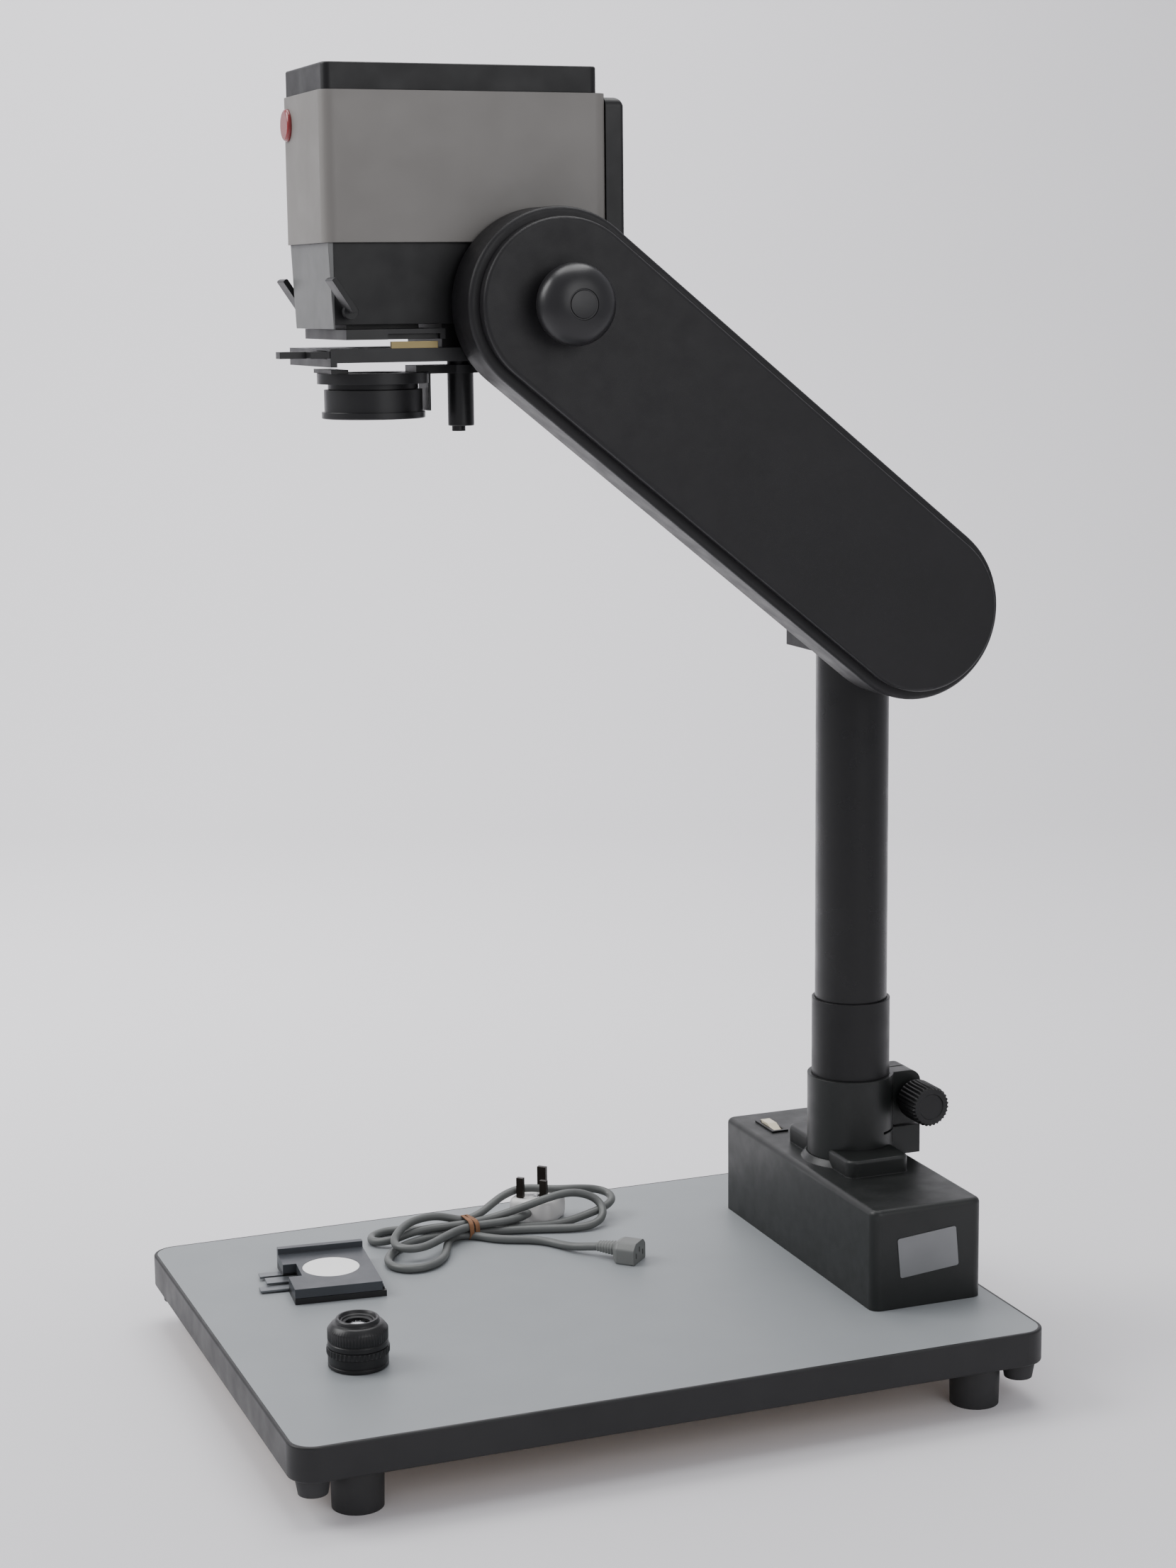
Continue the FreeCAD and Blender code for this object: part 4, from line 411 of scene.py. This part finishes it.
# ------------------------------------------------------------------------- mesh makers
def mesh_piece(name: str, points: np.ndarray, faces: list, smooth: bool = True) -> bpy.types.Object:
    """An object at the origin from points in metres and the faces between them.

    Args:
        name: the piece's name.
        points: an array of points, one row each.
        faces: lists of point numbers.
        smooth: whether its faces are shaded smooth.

    Returns:
        The new object, linked into the scene.
    """
    mesh = bpy.data.meshes.new(name)
    mesh.from_pydata(np.asarray(points, float).reshape(-1, 3).tolist(), [], faces)
    mesh.polygons.foreach_set("use_smooth", [smooth] * len(mesh.polygons))
    mesh.update()
    mesh.validate()
    piece = bpy.data.objects.new(name, mesh)
    bpy.context.scene.collection.objects.link(piece)
    return piece


def grid_faces(rows: int, columns: int, wrap_rows: bool, wrap_columns: bool) -> list:
    """The faces of a grid of points numbered row by row.

    Args:
        rows: how many rows the grid has.
        columns: how many points each row has.
        wrap_rows: whether the last row joins the first.
        wrap_columns: whether each row's last point joins its first.

    Returns:
        One list of four point numbers for each face.
    """
    steps_down = np.arange(rows if wrap_rows else rows - 1)
    steps_along = np.arange(columns if wrap_columns else columns - 1)
    i, j = np.meshgrid(steps_down, steps_along, indexing="ij")
    i, j = i.ravel(), j.ravel()
    i2, j2 = (i + 1) % rows, (j + 1) % columns
    return np.stack([i * columns + j, i * columns + j2, i2 * columns + j2, i2 * columns + j], 1).tolist()


def turned(profile: tuple, steps: int = 96, flutes: int = 0, depth: float = 0.0) -> tuple[np.ndarray, list]:
    """A closed body turned about the Z axis from a closed profile.

    A point is (r cos a, r sin a, z). Where the profile marks a point as fluted, its radius is
    less by depth times (0.5 + 0.5 cos(flutes a)).

    Args:
        profile: (radius, height, fluted) corners in millimetres, where fluted is 1 or 0.
        steps: how many points go round.
        flutes: how many flutes there are.
        depth: how deep they are.

    Returns:
        The points in millimetres, and the faces.
    """
    corners = np.array(profile, float)
    angle = np.linspace(0.0, 2.0 * np.pi, steps, endpoint=False)
    wave = depth * (0.5 + 0.5 * np.cos(flutes * angle))
    r = corners[:, :1] - corners[:, 2:3] * wave[None, :]
    z = corners[:, 1:2] * np.ones(steps)
    points = np.stack([r * np.cos(angle), r * np.sin(angle), z], -1).reshape(-1, 3)
    return points, grid_faces(len(corners), steps, True, True)


def rounded_outline(corners: tuple, radius: float, steps: int = 6) -> np.ndarray:
    """A polygon's outline with each corner eased by a parabola.

    Near a corner C the outline runs from A to B, each radius away from C along its side, as
    (1-t)(1-t) A + 2 t (1-t) C + t t B.

    Args:
        corners: the polygon's corners in order.
        radius: how far from its corner each curve starts.
        steps: how many points each curve has.

    Returns:
        The outline's points, one row each.
    """
    centre = np.array(corners, float)
    before = np.roll(centre, 1, axis=0) - centre
    after = np.roll(centre, -1, axis=0) - centre
    start = centre + radius * before / np.linalg.norm(before, axis=1)[:, None]
    finish = centre + radius * after / np.linalg.norm(after, axis=1)[:, None]
    t = np.linspace(0.0, 1.0, steps)[None, :, None]
    curve = (1 - t) ** 2 * start[:, None] + 2 * t * (1 - t) * centre[:, None] + t**2 * finish[:, None]
    return curve.reshape(-1, 2)


def lofted(loops: np.ndarray) -> tuple[np.ndarray, list]:
    """A closed body through a stack of loops, with its first and last loop filled.

    Args:
        loops: an array of loops, each with the same number of points.

    Returns:
        The points and the faces.
    """
    rows, columns = loops.shape[:2]
    ends = [list(range(columns)), list(range((rows - 1) * columns, rows * columns))]
    return loops.reshape(-1, 3), grid_faces(rows, columns, False, True) + ends


def band(
    loop: np.ndarray, across: np.ndarray, half_width: float, thickness: float
) -> tuple[np.ndarray, list]:
    """A flat strap that follows a closed loop: its four-cornered section is carried round.

    Args:
        loop: the loop's points.
        across: the unit vector along the strap's width.
        half_width: half the strap's width.
        thickness: how far its outer face stands off the loop, away from the loop's middle.

    Returns:
        The points and the faces.
    """
    out = loop - loop.mean(axis=0)
    out = out / np.linalg.norm(out, axis=1)[:, None]
    section = ((-1.0, 0.0), (1.0, 0.0), (0.9, 1.0), (-0.9, 1.0))
    rows = [loop + u * half_width * across + v * thickness * out for u, v in section]
    points = np.stack(rows, 1)
    return points.reshape(-1, 3), grid_faces(len(loop), len(section), True, True)


def turn_about_z(points: np.ndarray, degrees: float) -> np.ndarray:
    """The points turned about the Z axis.

    Args:
        points: the points, one row each.
        degrees: the turn, counterclockwise from above.

    Returns:
        The turned points.
    """
    c, s = cos(radians(degrees)), sin(radians(degrees))
    return points @ np.array([[c, s, 0.0], [-s, c, 0.0], [0.0, 0.0, 1.0]])


def outward(piece: bpy.types.Object) -> bpy.types.Object:
    """The piece with its faces turned outwards.

    Args:
        piece: a closed mesh object.

    Returns:
        The same object.
    """
    work = bmesh.new()
    work.from_mesh(piece.data)
    bmesh.ops.remove_doubles(work, verts=work.verts, dist=MERGE_DISTANCE)
    bmesh.ops.recalc_face_normals(work, faces=work.faces)
    work.to_mesh(piece.data)
    work.free()
    piece.data.set_sharp_from_angle(angle=radians(SHARP_ANGLE))
    return piece


@dataclass(frozen=True)
class Fitting:
    """What a finished piece is: its name, finish, body, record slot and the nodes it stands for."""

    name: str
    finish: Finish
    body: str
    slot: str
    nodes: tuple[str, ...] = ()

    def make(self, points: np.ndarray, faces: list) -> bpy.types.Object:
        """Make the piece where its points say, dress it and tie it to its body.

        Args:
            points: its points in the frame's metres.
            faces: its faces.

        Returns:
            The finished piece.
        """
        piece = outward(mesh_piece(self.name, points, faces))
        self.finish.dress(piece)
        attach(piece, self.body)
        if self.nodes:
            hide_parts(*self.nodes)
        LOG.info("%s: %d faces on %s", self.name, len(piece.data.polygons), self.body)
        return piece


def laid(points: np.ndarray, spot: tuple[float, float], heading: float = 0.0) -> np.ndarray:
    """Points of a piece that stands on the board, turned to its heading and put on its spot.

    Args:
        points: the points in mm in the piece's own axes, with the board at height 0.
        spot: its place from the board's front edge and centre line.
        heading: its turn in degrees.

    Returns:
        The points in the frame's metres.
    """
    return on_board(turn_about_z(points, heading) + np.array([spot[0], spot[1], 0.0]))


def facing_operator(points: np.ndarray, node: str) -> np.ndarray:
    """Points turned about Z, in mm, laid so that Z runs towards -Y from a node's near face.

    Args:
        points: the points; height 0 is the near face of the node's box, and heights are negative
            behind it.
        node: the node whose box gives the axis.

    Returns:
        The points in the frame's metres.
    """
    low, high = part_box(node)
    x, y, z = points.T * MM
    return np.stack([(low.x + high.x) / 2 + x, low.y - z, (low.z + high.z) / 2 + y], 1)


# ------------------------------------------------------------------------- the studio
@dataclass
class Studio:
    """The camera, the lights and the pale floor that rises behind into a wall."""

    camera_place: tuple[float, float, float] = (-0.78713, -2.05097, 0.86074)
    azimuth: float = 0.36773
    tilt: float = 0.17199
    roll: float = 0.010916
    lens_mm: float = 64.54
    floor_reach: float = 5.0
    wall_distance: float = 2.3
    bend_radius: float = 0.9
    wall_height: float = 4.0

    def camera(self) -> None:
        """Look along the azimuth and tilt: right, up and back are the camera's own axes."""
        data = bpy.data.cameras.new("camera")
        data.sensor_fit = "AUTO"
        data.sensor_width = 36.0
        data.lens = self.lens_mm
        data.clip_end = 30.0
        ahead = np.array(
            [sin(self.azimuth) * cos(self.tilt), cos(self.azimuth) * cos(self.tilt), -sin(self.tilt)]
        )
        right = np.array([cos(self.azimuth), -sin(self.azimuth), 0.0])
        down = np.cross(ahead, right)
        c, s = cos(self.roll), sin(self.roll)
        turned_right = c * right + s * down
        turned_down = c * down - s * right
        pose = np.eye(4)
        pose[:3, 0] = turned_right
        pose[:3, 1] = -turned_down
        pose[:3, 2] = -ahead
        pose[:3, 3] = self.camera_place
        camera = bpy.data.objects.new("camera", data)
        camera.matrix_world = Matrix(pose.tolist())
        bpy.context.scene.collection.objects.link(camera)
        bpy.context.scene.camera = camera

    def floor(self) -> None:
        """A sheet that runs back level, bends up along a quarter circle and stands as a wall."""
        bend = np.linspace(0.0, np.pi / 2, 24)
        run = np.concatenate([[-self.floor_reach], self.wall_distance + self.bend_radius * np.sin(bend)])
        rise = np.concatenate([[0.0], self.bend_radius * (1.0 - np.cos(bend))])
        run = np.append(run, run[-1])
        rise = np.append(rise, self.wall_height)
        ahead = np.array([sin(self.azimuth), cos(self.azimuth), 0.0])
        right = np.array([cos(self.azimuth), -sin(self.azimuth), 0.0])
        side = np.linspace(-self.floor_reach, self.floor_reach, 3)
        up = np.array([0.0, 0.0, 1.0])
        points = run[:, None, None] * ahead + side[None, :, None] * right + rise[:, None, None] * up
        sheet = mesh_piece("studio_floor", points, grid_faces(len(run), len(side), False, False))
        STUDIO_PAPER.dress(sheet)

    def lamp(self, name: str, place: tuple, aim: tuple, size: float, power: float) -> None:
        """A square soft light.

        Args:
            name: the light's name.
            place: where it hangs, in metres.
            aim: the point that it faces.
            size: the length of its side.
            power: its power in watts.
        """
        data = bpy.data.lights.new(name, "AREA")
        data.size = size
        data.energy = power
        light = bpy.data.objects.new(name, data)
        way = Vector(aim) - Vector(place)
        light.matrix_world = Matrix.Translation(place) @ way.to_track_quat("-Z", "Y").to_matrix().to_4x4()
        bpy.context.scene.collection.objects.link(light)

    def lights(self) -> None:
        """A soft key from behind the operator's side, a top light, a weak fill and a lit backdrop."""
        self.lamp("key", (-2.0, 0.9, 2.2), (0.0, 0.0, 0.5), 1.6, 60.0)
        self.lamp("top", (0.2, 0.6, 3.0), (0.0, 0.1, 0.0), 2.2, 66.0)
        self.lamp("fill", (0.6, -2.8, 1.6), (0.0, 0.0, 0.6), 1.8, 22.0)
        self.lamp("backdrop", (-0.6, 1.3, 2.2), (0.2, 3.4, 1.2), 1.6, 60.0)
        world = bpy.data.worlds.new("studio")
        world.use_nodes = True
        world.node_tree.nodes["Background"].inputs["Color"].default_value = (0.90, 0.90, 0.95, 1.0)
        world.node_tree.nodes["Background"].inputs["Strength"].default_value = 0.62
        bpy.context.scene.world = world

    def build(self) -> None:
        """Make the camera, the floor and the lights."""
        self.camera()
        self.floor()
        self.lights()
        LOG.info("studio built")


# ------------------------------------------------------------------------- the loose lead
@dataclass
class Lead:
    """The grey mains lead that lies on the board, folded into five lobes and tied.

    Its route starts at the connector's boot, passes the tie, and folds left and right by turns,
    until it comes back through the tie to the plug. All its points are in mm from the board's
    front edge, centre line and top.
    """

    diameter_mm: float = 7.0
    length_m: float = 1.37
    tail: tuple = (
        (346.6, 65.4, 8.5), (340.5, 71.5, 7.4), (334.5, 77.8, 6.0), (329.5, 85.5, 4.6), (324.5, 94.5, 3.8),
        (317.5, 106.5, 3.6), (308.0, 115.5, 3.7), (296.0, 121.5, 3.6), (284.0, 127.0, 3.7),
        (274.5, 135.0, 3.6),
        (268.0, 142.5, 3.7),
    )
    low_left: tuple = (
        (260.5, 149.0, 3.7), (249.5, 150.5, 3.7), (240.5, 144.0, 3.7), (235.0, 132.0, 3.7),
        (229.5, 117.5, 3.7),
        (222.5, 103.5, 3.7), (212.0, 91.5, 3.7), (198.5, 85.0, 3.7), (184.5, 87.0, 3.7), (176.0, 97.5, 3.7),
        (175.5, 111.5, 3.7), (181.5, 125.5, 3.7), (191.5, 138.0, 3.7), (205.5, 148.5, 3.7),
        (222.0, 154.5, 3.7),
        (240.0, 156.5, 3.7),
    )
    low_right: tuple = (
        (263.0, 156.0, 3.7), (283.0, 151.0, 3.7), (300.0, 146.5, 3.7), (318.0, 142.0, 3.7),
        (336.0, 136.0, 3.7),
        (352.0, 131.0, 3.7), (367.0, 130.5, 4.2), (379.0, 137.0, 7.5), (383.5, 147.5, 13.5),
        (378.5, 156.0, 20.5),
        (364.0, 158.0, 26.0), (349.0, 155.5, 27.6), (333.0, 153.0, 26.0), (318.0, 156.0, 21.0),
        (303.0, 161.0, 15.5),
        (284.0, 161.0, 12.0),
    )
    outer_left: tuple = (
        (263.0, 157.5, 10.9), (243.0, 158.0, 11.0), (224.0, 158.5, 11.0), (209.0, 157.0, 9.5),
        (196.5, 153.5, 7.5),
        (185.0, 156.0, 5.2), (177.5, 165.5, 4.0), (181.5, 178.5, 3.7), (194.0, 186.5, 3.7),
        (209.0, 186.0, 3.7),
        (223.0, 180.0, 3.7), (236.5, 172.5, 3.7), (249.0, 166.5, 3.7),
    )
    high_right: tuple = (
        (262.5, 163.2, 3.7), (283.0, 159.0, 3.7), (300.0, 154.5, 3.7), (318.0, 150.5, 3.7),
        (336.0, 146.5, 3.9),
        (352.0, 146.0, 5.5), (368.0, 147.5, 8.5), (384.0, 150.0, 11.5), (396.5, 157.5, 14.5),
        (398.5, 169.0, 17.5),
        (388.5, 177.0, 20.5), (371.0, 174.5, 24.0), (355.0, 172.0, 26.0), (342.5, 176.0, 26.4),
        (331.5, 183.5, 26.5),
        (320.0, 188.5, 25.8), (305.0, 185.5, 23.0), (290.0, 177.0, 18.5), (277.0, 168.5, 14.5),
    )
    top_left: tuple = (
        (262.0, 165.2, 11.4), (250.0, 167.5, 14.5), (237.0, 168.0, 18.0), (223.0, 165.0, 18.8),
        (209.5, 158.5, 18.6),
        (197.5, 148.0, 16.5), (188.5, 136.0, 13.0), (187.0, 123.0, 11.2), (195.0, 113.5, 11.0),
        (208.5, 114.0, 11.0),
        (221.0, 122.5, 11.0), (234.0, 133.5, 11.0), (248.0, 144.0, 11.0),
    )
    to_plug: tuple = (
        (264.5, 150.4, 10.9), (281.0, 150.4, 10.9), (297.2, 151.5, 10.9), (305.9, 153.9, 10.9),
        (313.6, 158.4, 10.8),
        (320.0, 164.7, 10.5),
    )

    def route(self) -> np.ndarray:
        """All the control points in order, in metres in the frame."""
        lobes = (
            self.tail + self.low_left + self.low_right + self.outer_left + self.high_right + self.top_left
            + self.to_plug
        )
        return on_board(np.array(lobes))

    def cable(self) -> bpy.types.Object:
        """The lead itself: one open NURBS spline with a round section."""
        curve = bpy.data.curves.new("mains_lead", "CURVE")
        curve.dimensions = "3D"
        curve.resolution_u = 8
        curve.bevel_depth = self.diameter_mm * MM / 2
        curve.bevel_resolution = 5
        curve.use_fill_caps = True
        points = self.route()
        spline = curve.splines.new("NURBS")
        spline.points.add(len(points) - 1)
        spline.points.foreach_set("co", np.column_stack([points, np.ones(len(points))]).ravel())
        spline.order_u = 3
        spline.use_endpoint_u = True
        spline.use_smooth = True
        cable = bpy.data.objects.new("mains_lead", curve)
        bpy.context.scene.collection.objects.link(cable)
        VINYL.dress(cable)
        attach(cable, "base")
        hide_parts("lead_connector_end", "lead_plug_end", "lead_hank")
        return cable

    def build(self, pieces: list) -> None:
        """Args:
            pieces: the connector, the plug, its pins and the tie. Not used.
        """
        cable = self.cable()
        LOG.info("lead: %d control points", len(self.route()))


@dataclass
class Connector:
    """The moulded appliance connector: a six-sided body with three slots, and a ribbed boot.

    Its own X axis points out of its face, and the board is at height 0.
    """

    face: tuple[float, float] = (373.5, 38.5)
    heading: float = -45.0
    half_width: float = 12.9
    height: float = 17.9
    corner: float = 5.0
    corner_ease: float = 1.6
    under_gap: float = 0.1
    slotted_depth: float = 15.0
    body_length: float = 20.0
    boot_end: float = 38.0
    boot_radius: float = 7.0
    boot_tip: float = 4.5
    neck: float = 2.0
    ribs: int = 6
    rib_rise: float = 0.6
    blend_steps: int = 6
    steps_per_rib: int = 8
    slots: tuple = ((-7.0, -2.0), (7.0, -2.0), (0.0, 2.0))
    slot_half: tuple[float, float] = (1.2, 2.4)

    def outline(self) -> np.ndarray:
        """The six-sided section with eased corners, as (across, up) points."""
        w, h, c = self.half_width, self.height, self.corner
        low = self.under_gap
        corners = ((-w, low), (w, low), (w, h - c), (w - c, h), (c - w, h), (-w, h - c))
        return rounded_outline(corners, self.corner_ease)

    def nose(self) -> tuple[np.ndarray, list]:
        """The front of the body, a thick plate with the three slots right through it.

        Returns:
            The points in mm in the connector's axes, and the faces.
        """
        flat = bpy.data.curves.new("connector_outline", "CURVE")
        flat.dimensions = "2D"
        flat.fill_mode = "BOTH"
        flat.extrude = self.slotted_depth / 2
        y, z = self.slot_half
        mid = self.height / 2
        rings = [self.outline()]
        for across, up in self.slots:
            box = ((-y, -z), (y, -z), (y, z), (-y, z))
            rings.append(np.array(box) + np.array([across, mid + up]))
        for ring in rings:
            spline = flat.splines.new("POLY")
            spline.points.add(len(ring) - 1)
            corners = np.column_stack([ring, np.zeros(len(ring)), np.ones(len(ring))])
            spline.points.foreach_set("co", corners.ravel())
            spline.use_cyclic_u = True
        holder = bpy.data.objects.new("connector_outline", flat)
        mesh = bpy.data.meshes.new_from_object(holder)
        co = np.empty(len(mesh.vertices) * 3)
        mesh.vertices.foreach_get("co", co)
        co = co.reshape(-1, 3)
        faces = [list(polygon.vertices) for polygon in mesh.polygons]
        bpy.data.objects.remove(holder)
        bpy.data.curves.remove(flat)
        bpy.data.meshes.remove(mesh)
        return np.stack([co[:, 2] - self.slotted_depth / 2, co[:, 0], co[:, 1]], 1), faces

    def tail(self) -> tuple[np.ndarray, list]:
        """The back of the body, drawn in from the six sides to the round, ribbed boot.

        The section is a blend of the outline and a circle, and the boot's radius falls evenly
        while each rib stands proud as a raised cosine.

        Returns:
            The points in mm in the connector's axes, and the faces.
        """
        outline = self.outline()
        middle = np.array([0.0, self.height / 2])
        angle = np.arctan2(*(outline - middle).T[::-1])
        round_part = np.stack([np.cos(angle), np.sin(angle)], 1)
        boot_start = self.body_length + self.neck
        blend_x = np.linspace(-self.slotted_depth, -boot_start, self.blend_steps)
        boot_x = np.linspace(-boot_start, -self.boot_end, self.steps_per_rib * self.ribs)[1:]
        x = np.concatenate([blend_x, boot_x])
        share = np.clip((-x - self.slotted_depth) / (boot_start - self.slotted_depth), 0.0, 1.0) ** 2
        along = np.clip((-x - boot_start) / (self.boot_end - boot_start), 0.0, 1.0)
        rib = 0.5 * self.rib_rise * (1.0 - np.cos(2.0 * np.pi * self.ribs * along))
        root = self.boot_radius - self.rib_rise
        radius = root + (self.boot_tip - root) * along + rib
        circle = middle + radius[:, None, None] * round_part[None]
        section = (1.0 - share)[:, None, None] * outline[None] + share[:, None, None] * circle
        lengthways = np.broadcast_to(x[:, None, None], (*section.shape[:2], 1))
        return lofted(np.concatenate([lengthways, section], 2))

    def build(self) -> list[bpy.types.Object]:
        """Make both parts of the connector.

        Returns:
            The two pieces.
        """
        points, faces = self.nose()
        nose = Fitting("connector_nose", CONNECTOR_GREY, "base", "black_plastic", ("iec_connector",))
        back = Fitting("connector_boot", CONNECTOR_GREY, "base", "black_plastic")
        made = [nose.make(laid(points, self.face, self.heading), faces)]
        points, faces = self.tail()
        made.append(back.make(laid(points, self.face, self.heading), faces))
        return made


@dataclass
class Plug:
    """The white plug that lies on its back with its pins up, and its fixing screw."""

    spot: tuple[float, float] = (334.2, 179.5)
    heading: float = 46.0
    half: float = 20.4
    corner: float = 9.0
    sections: tuple = (
        (0.05, 3.4), (0.6, 1.6), (2.4, 0.6), (6.0, 0.1), (12.0, 0.0), (17.0, 0.3), (19.4, 1.0), (20.5, 2.2),
        (20.9, 3.6), (20.9, 5.4), (20.3, 6.0),
    )
    screw: tuple = (
        (0.0, 19.6, 0), (3.4, 19.6, 0), (3.6, 20.5, 0), (3.1, 20.8, 0), (2.2, 20.85, 0), (1.2, 20.85, 0),
        (0.0, 20.6, 0),
    )

    def build(self) -> list[bpy.types.Object]:
        """Loft the body through its sections and set the screw in its face.

        Returns:
            The two pieces.
        """
        loops = []
        for height, inset in self.sections:
            h = self.half - inset
            outline = rounded_outline(((h, h), (-h, h), (-h, -h), (h, -h)), self.corner - inset * 0.5, 10)
            loops.append(np.column_stack([outline, np.full(len(outline), height)]))
        points, faces = lofted(np.array(loops))
        body = Fitting("plug_body", PLUG_WHITE, "base", "white_plug", ("mains_plug",))
        made = [body.make(laid(points, self.spot, self.heading), faces)]
        points, faces = turned(self.screw, 32)
        screw = Fitting("plug_screw", MACHINED, "base", "machined_steel")
        made.append(screw.make(laid(points, self.spot, self.heading), faces))
        return made


@dataclass
class Tie:
    """The brown paper-covered tie, wound twice round the folded lead."""

    spot: tuple[float, float] = (262.5, 157.2)
    heading: float = 8.0
    half_width: float = 12.6
    height: float = 16.2
    strap_half: float = 2.1
    thickness: float = 0.8
    corner_ease: float = 7.0
    under_gap: float = 0.1
    bottom: float = 0.15
    windings: tuple = ((-1.7, 5.0), (1.7, -4.0))

    def build(self) -> bpy.types.Object:
        """Carry the strap round the bundle twice, each turn at its own slight slant.

        Returns:
            The tie.
        """
        w, h = self.half_width, self.height
        low = self.bottom
        outline = rounded_outline(((-w, low), (w, low), (w, h), (-w, h)), self.corner_ease, 10)
        points, faces = [], []
        for offset, slant in self.windings:
            loop = np.column_stack([np.full(len(outline), offset), outline])
            turn, quads = band(loop, np.array([1.0, 0.0, 0.0]), self.strap_half, self.thickness)
            turn[:, 0] += np.tan(radians(slant)) * turn[:, 1]
            turn[:, 2] = np.maximum(turn[:, 2], self.under_gap)
            faces += [[number + sum(len(p) for p in points) for number in face] for face in quads]
            points.append(turn)
        whole = np.concatenate(points)
        tie = Fitting("lead_strap", TIE_BROWN, "base", "brown_tie", ("lead_tie",))
        return tie.make(laid(whole, self.spot, self.heading), faces)


@dataclass
class TakingLens:
    """The loose taking lens that stands on the board: a turned barrel and a fluted ring."""

    spot: tuple[float, float] = (89.7, -91.4)
    barrel: tuple = (
        (15.0, 0.0, 0), (22.2, 0.0, 0), (23.2, 1.0, 0), (23.2, 3.0, 0), (22.6, 3.4, 0), (22.6, 4.0, 0),
        (23.2, 4.4, 0),
        (23.2, 10.5, 0), (20.2, 10.5, 0), (20.2, 16.5, 0), (23.2, 16.5, 0), (23.2, 20.0, 0), (22.5, 20.5, 0),
        (22.5, 21.2, 0), (23.2, 21.7, 1), (23.2, 29.6, 1), (22.6, 30.4, 0), (20.0, 33.6, 0), (19.2, 34.2, 0),
        (17.0, 34.6, 0), (16.6, 35.2, 0), (16.6, 37.3, 0), (15.9, 38.0, 0), (14.6, 38.0, 0), (14.0, 37.4, 0),
        (13.2, 35.8, 0), (12.0, 35.4, 0), (11.6, 34.4, 0), (9.5, 33.8, 0), (9.5, 8.0, 0), (15.0, 8.0, 0),
    )
    ring: tuple = (
        (20.4, 10.9, 0), (23.9, 10.9, 0), (24.2, 11.3, 1), (24.2, 15.7, 1), (23.9, 16.1, 0), (20.4, 16.1, 0),
    )

    def build(self) -> None:
        """Turn the barrel with its knurled front band, and the aperture ring with its flutes."""
        points, faces = turned(self.barrel, 240, flutes=60, depth=0.45)
        barrel = Fitting("taking_lens_barrel", ANODISED, "loose_lens", "dark_metal", ("lens_barrel",))
        barrel.make(laid(points, self.spot), faces)
        points, faces = turned(self.ring, 240, flutes=40, depth=0.9)
        ring = Fitting("taking_lens_ring", ANODISED, "aperture", "dark_metal", ("lens_aperture_ring",))
        ring.make(laid(points, self.spot), faces)


@dataclass
class HandWheels:
    """The domed grip on the arm and the knurled clamp knob, both turned about level axes."""

    grip: tuple = (
        (0.0, -46.6, 0), (5.0, -46.6, 0), (5.0, -36.2, 0), (21.0, -36.2, 0), (23.0, -34.5, 0),
        (23.8, -30.0, 0),
        (25.0, -25.6, 0), (28.2, -22.6, 0), (29.6, -20.6, 0), (30.0, -18.0, 0), (29.8, -15.0, 0),
        (28.8, -11.6, 0),
        (26.8, -8.2, 0), (23.6, -5.0, 0), (19.4, -2.6, 0), (14.6, -1.1, 0), (11.3, -0.6, 0), (10.9, -1.3, 0),
        (10.3, -1.3, 0), (9.9, -0.5, 0), (6.0, -0.15, 0), (0.0, -0.1, 0),
    )
    clamp: tuple = (
        (0.0, -22.0, 0), (4.1, -22.0, 0), (4.1, -36.0, 0), (9.0, -36.0, 0), (9.0, -30.2, 0), (15.0, -30.0, 0),
        (16.6, -28.6, 0), (17.0, -27.0, 1), (17.0, -2.4, 1), (16.4, -0.9, 1), (15.0, -0.2, 0),
        (11.0, -0.05, 0),
        (10.4, -0.8, 0), (0.0, -0.8, 0),
    )

    def build(self) -> None:
        """Turn both wheels and lay each on its own axis."""
        points, faces = turned(self.grip, 128)
        grip = Fitting("hand_grip", GRIP_BLACK, "grip", "grip_plastic", ("grip_knob",))
        grip.make(facing_operator(points, "grip_knob"), faces)
        points, faces = turned(self.clamp, 240, flutes=30, depth=1.5)
        clamp = Fitting("clamp_wheel", BLACK_PLASTIC, "clamp", "black_plastic", ("clamp_knob",))
        clamp.make(facing_operator(points, "clamp_knob"), faces)


def dress_nodes() -> None:
    """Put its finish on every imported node."""
    for name, finish in NODE_FINISHES.items():
        finish.dress(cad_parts[name])
    LOG.info("%d nodes dressed", len(NODE_FINISHES))


def main() -> None:
    """Build the studio, the lead and the pieces."""
    logging.basicConfig(level=logging.INFO, format="%(name)s %(message)s")
    Studio().build()
    on_lead = Connector().build() + Plug().build() + [Tie().build()]
    Lead().build([*on_lead, "plug_pins"])
    dress_nodes()
    TakingLens().build()
    HandWheels().build()


if __name__ == "__main__":
    main()
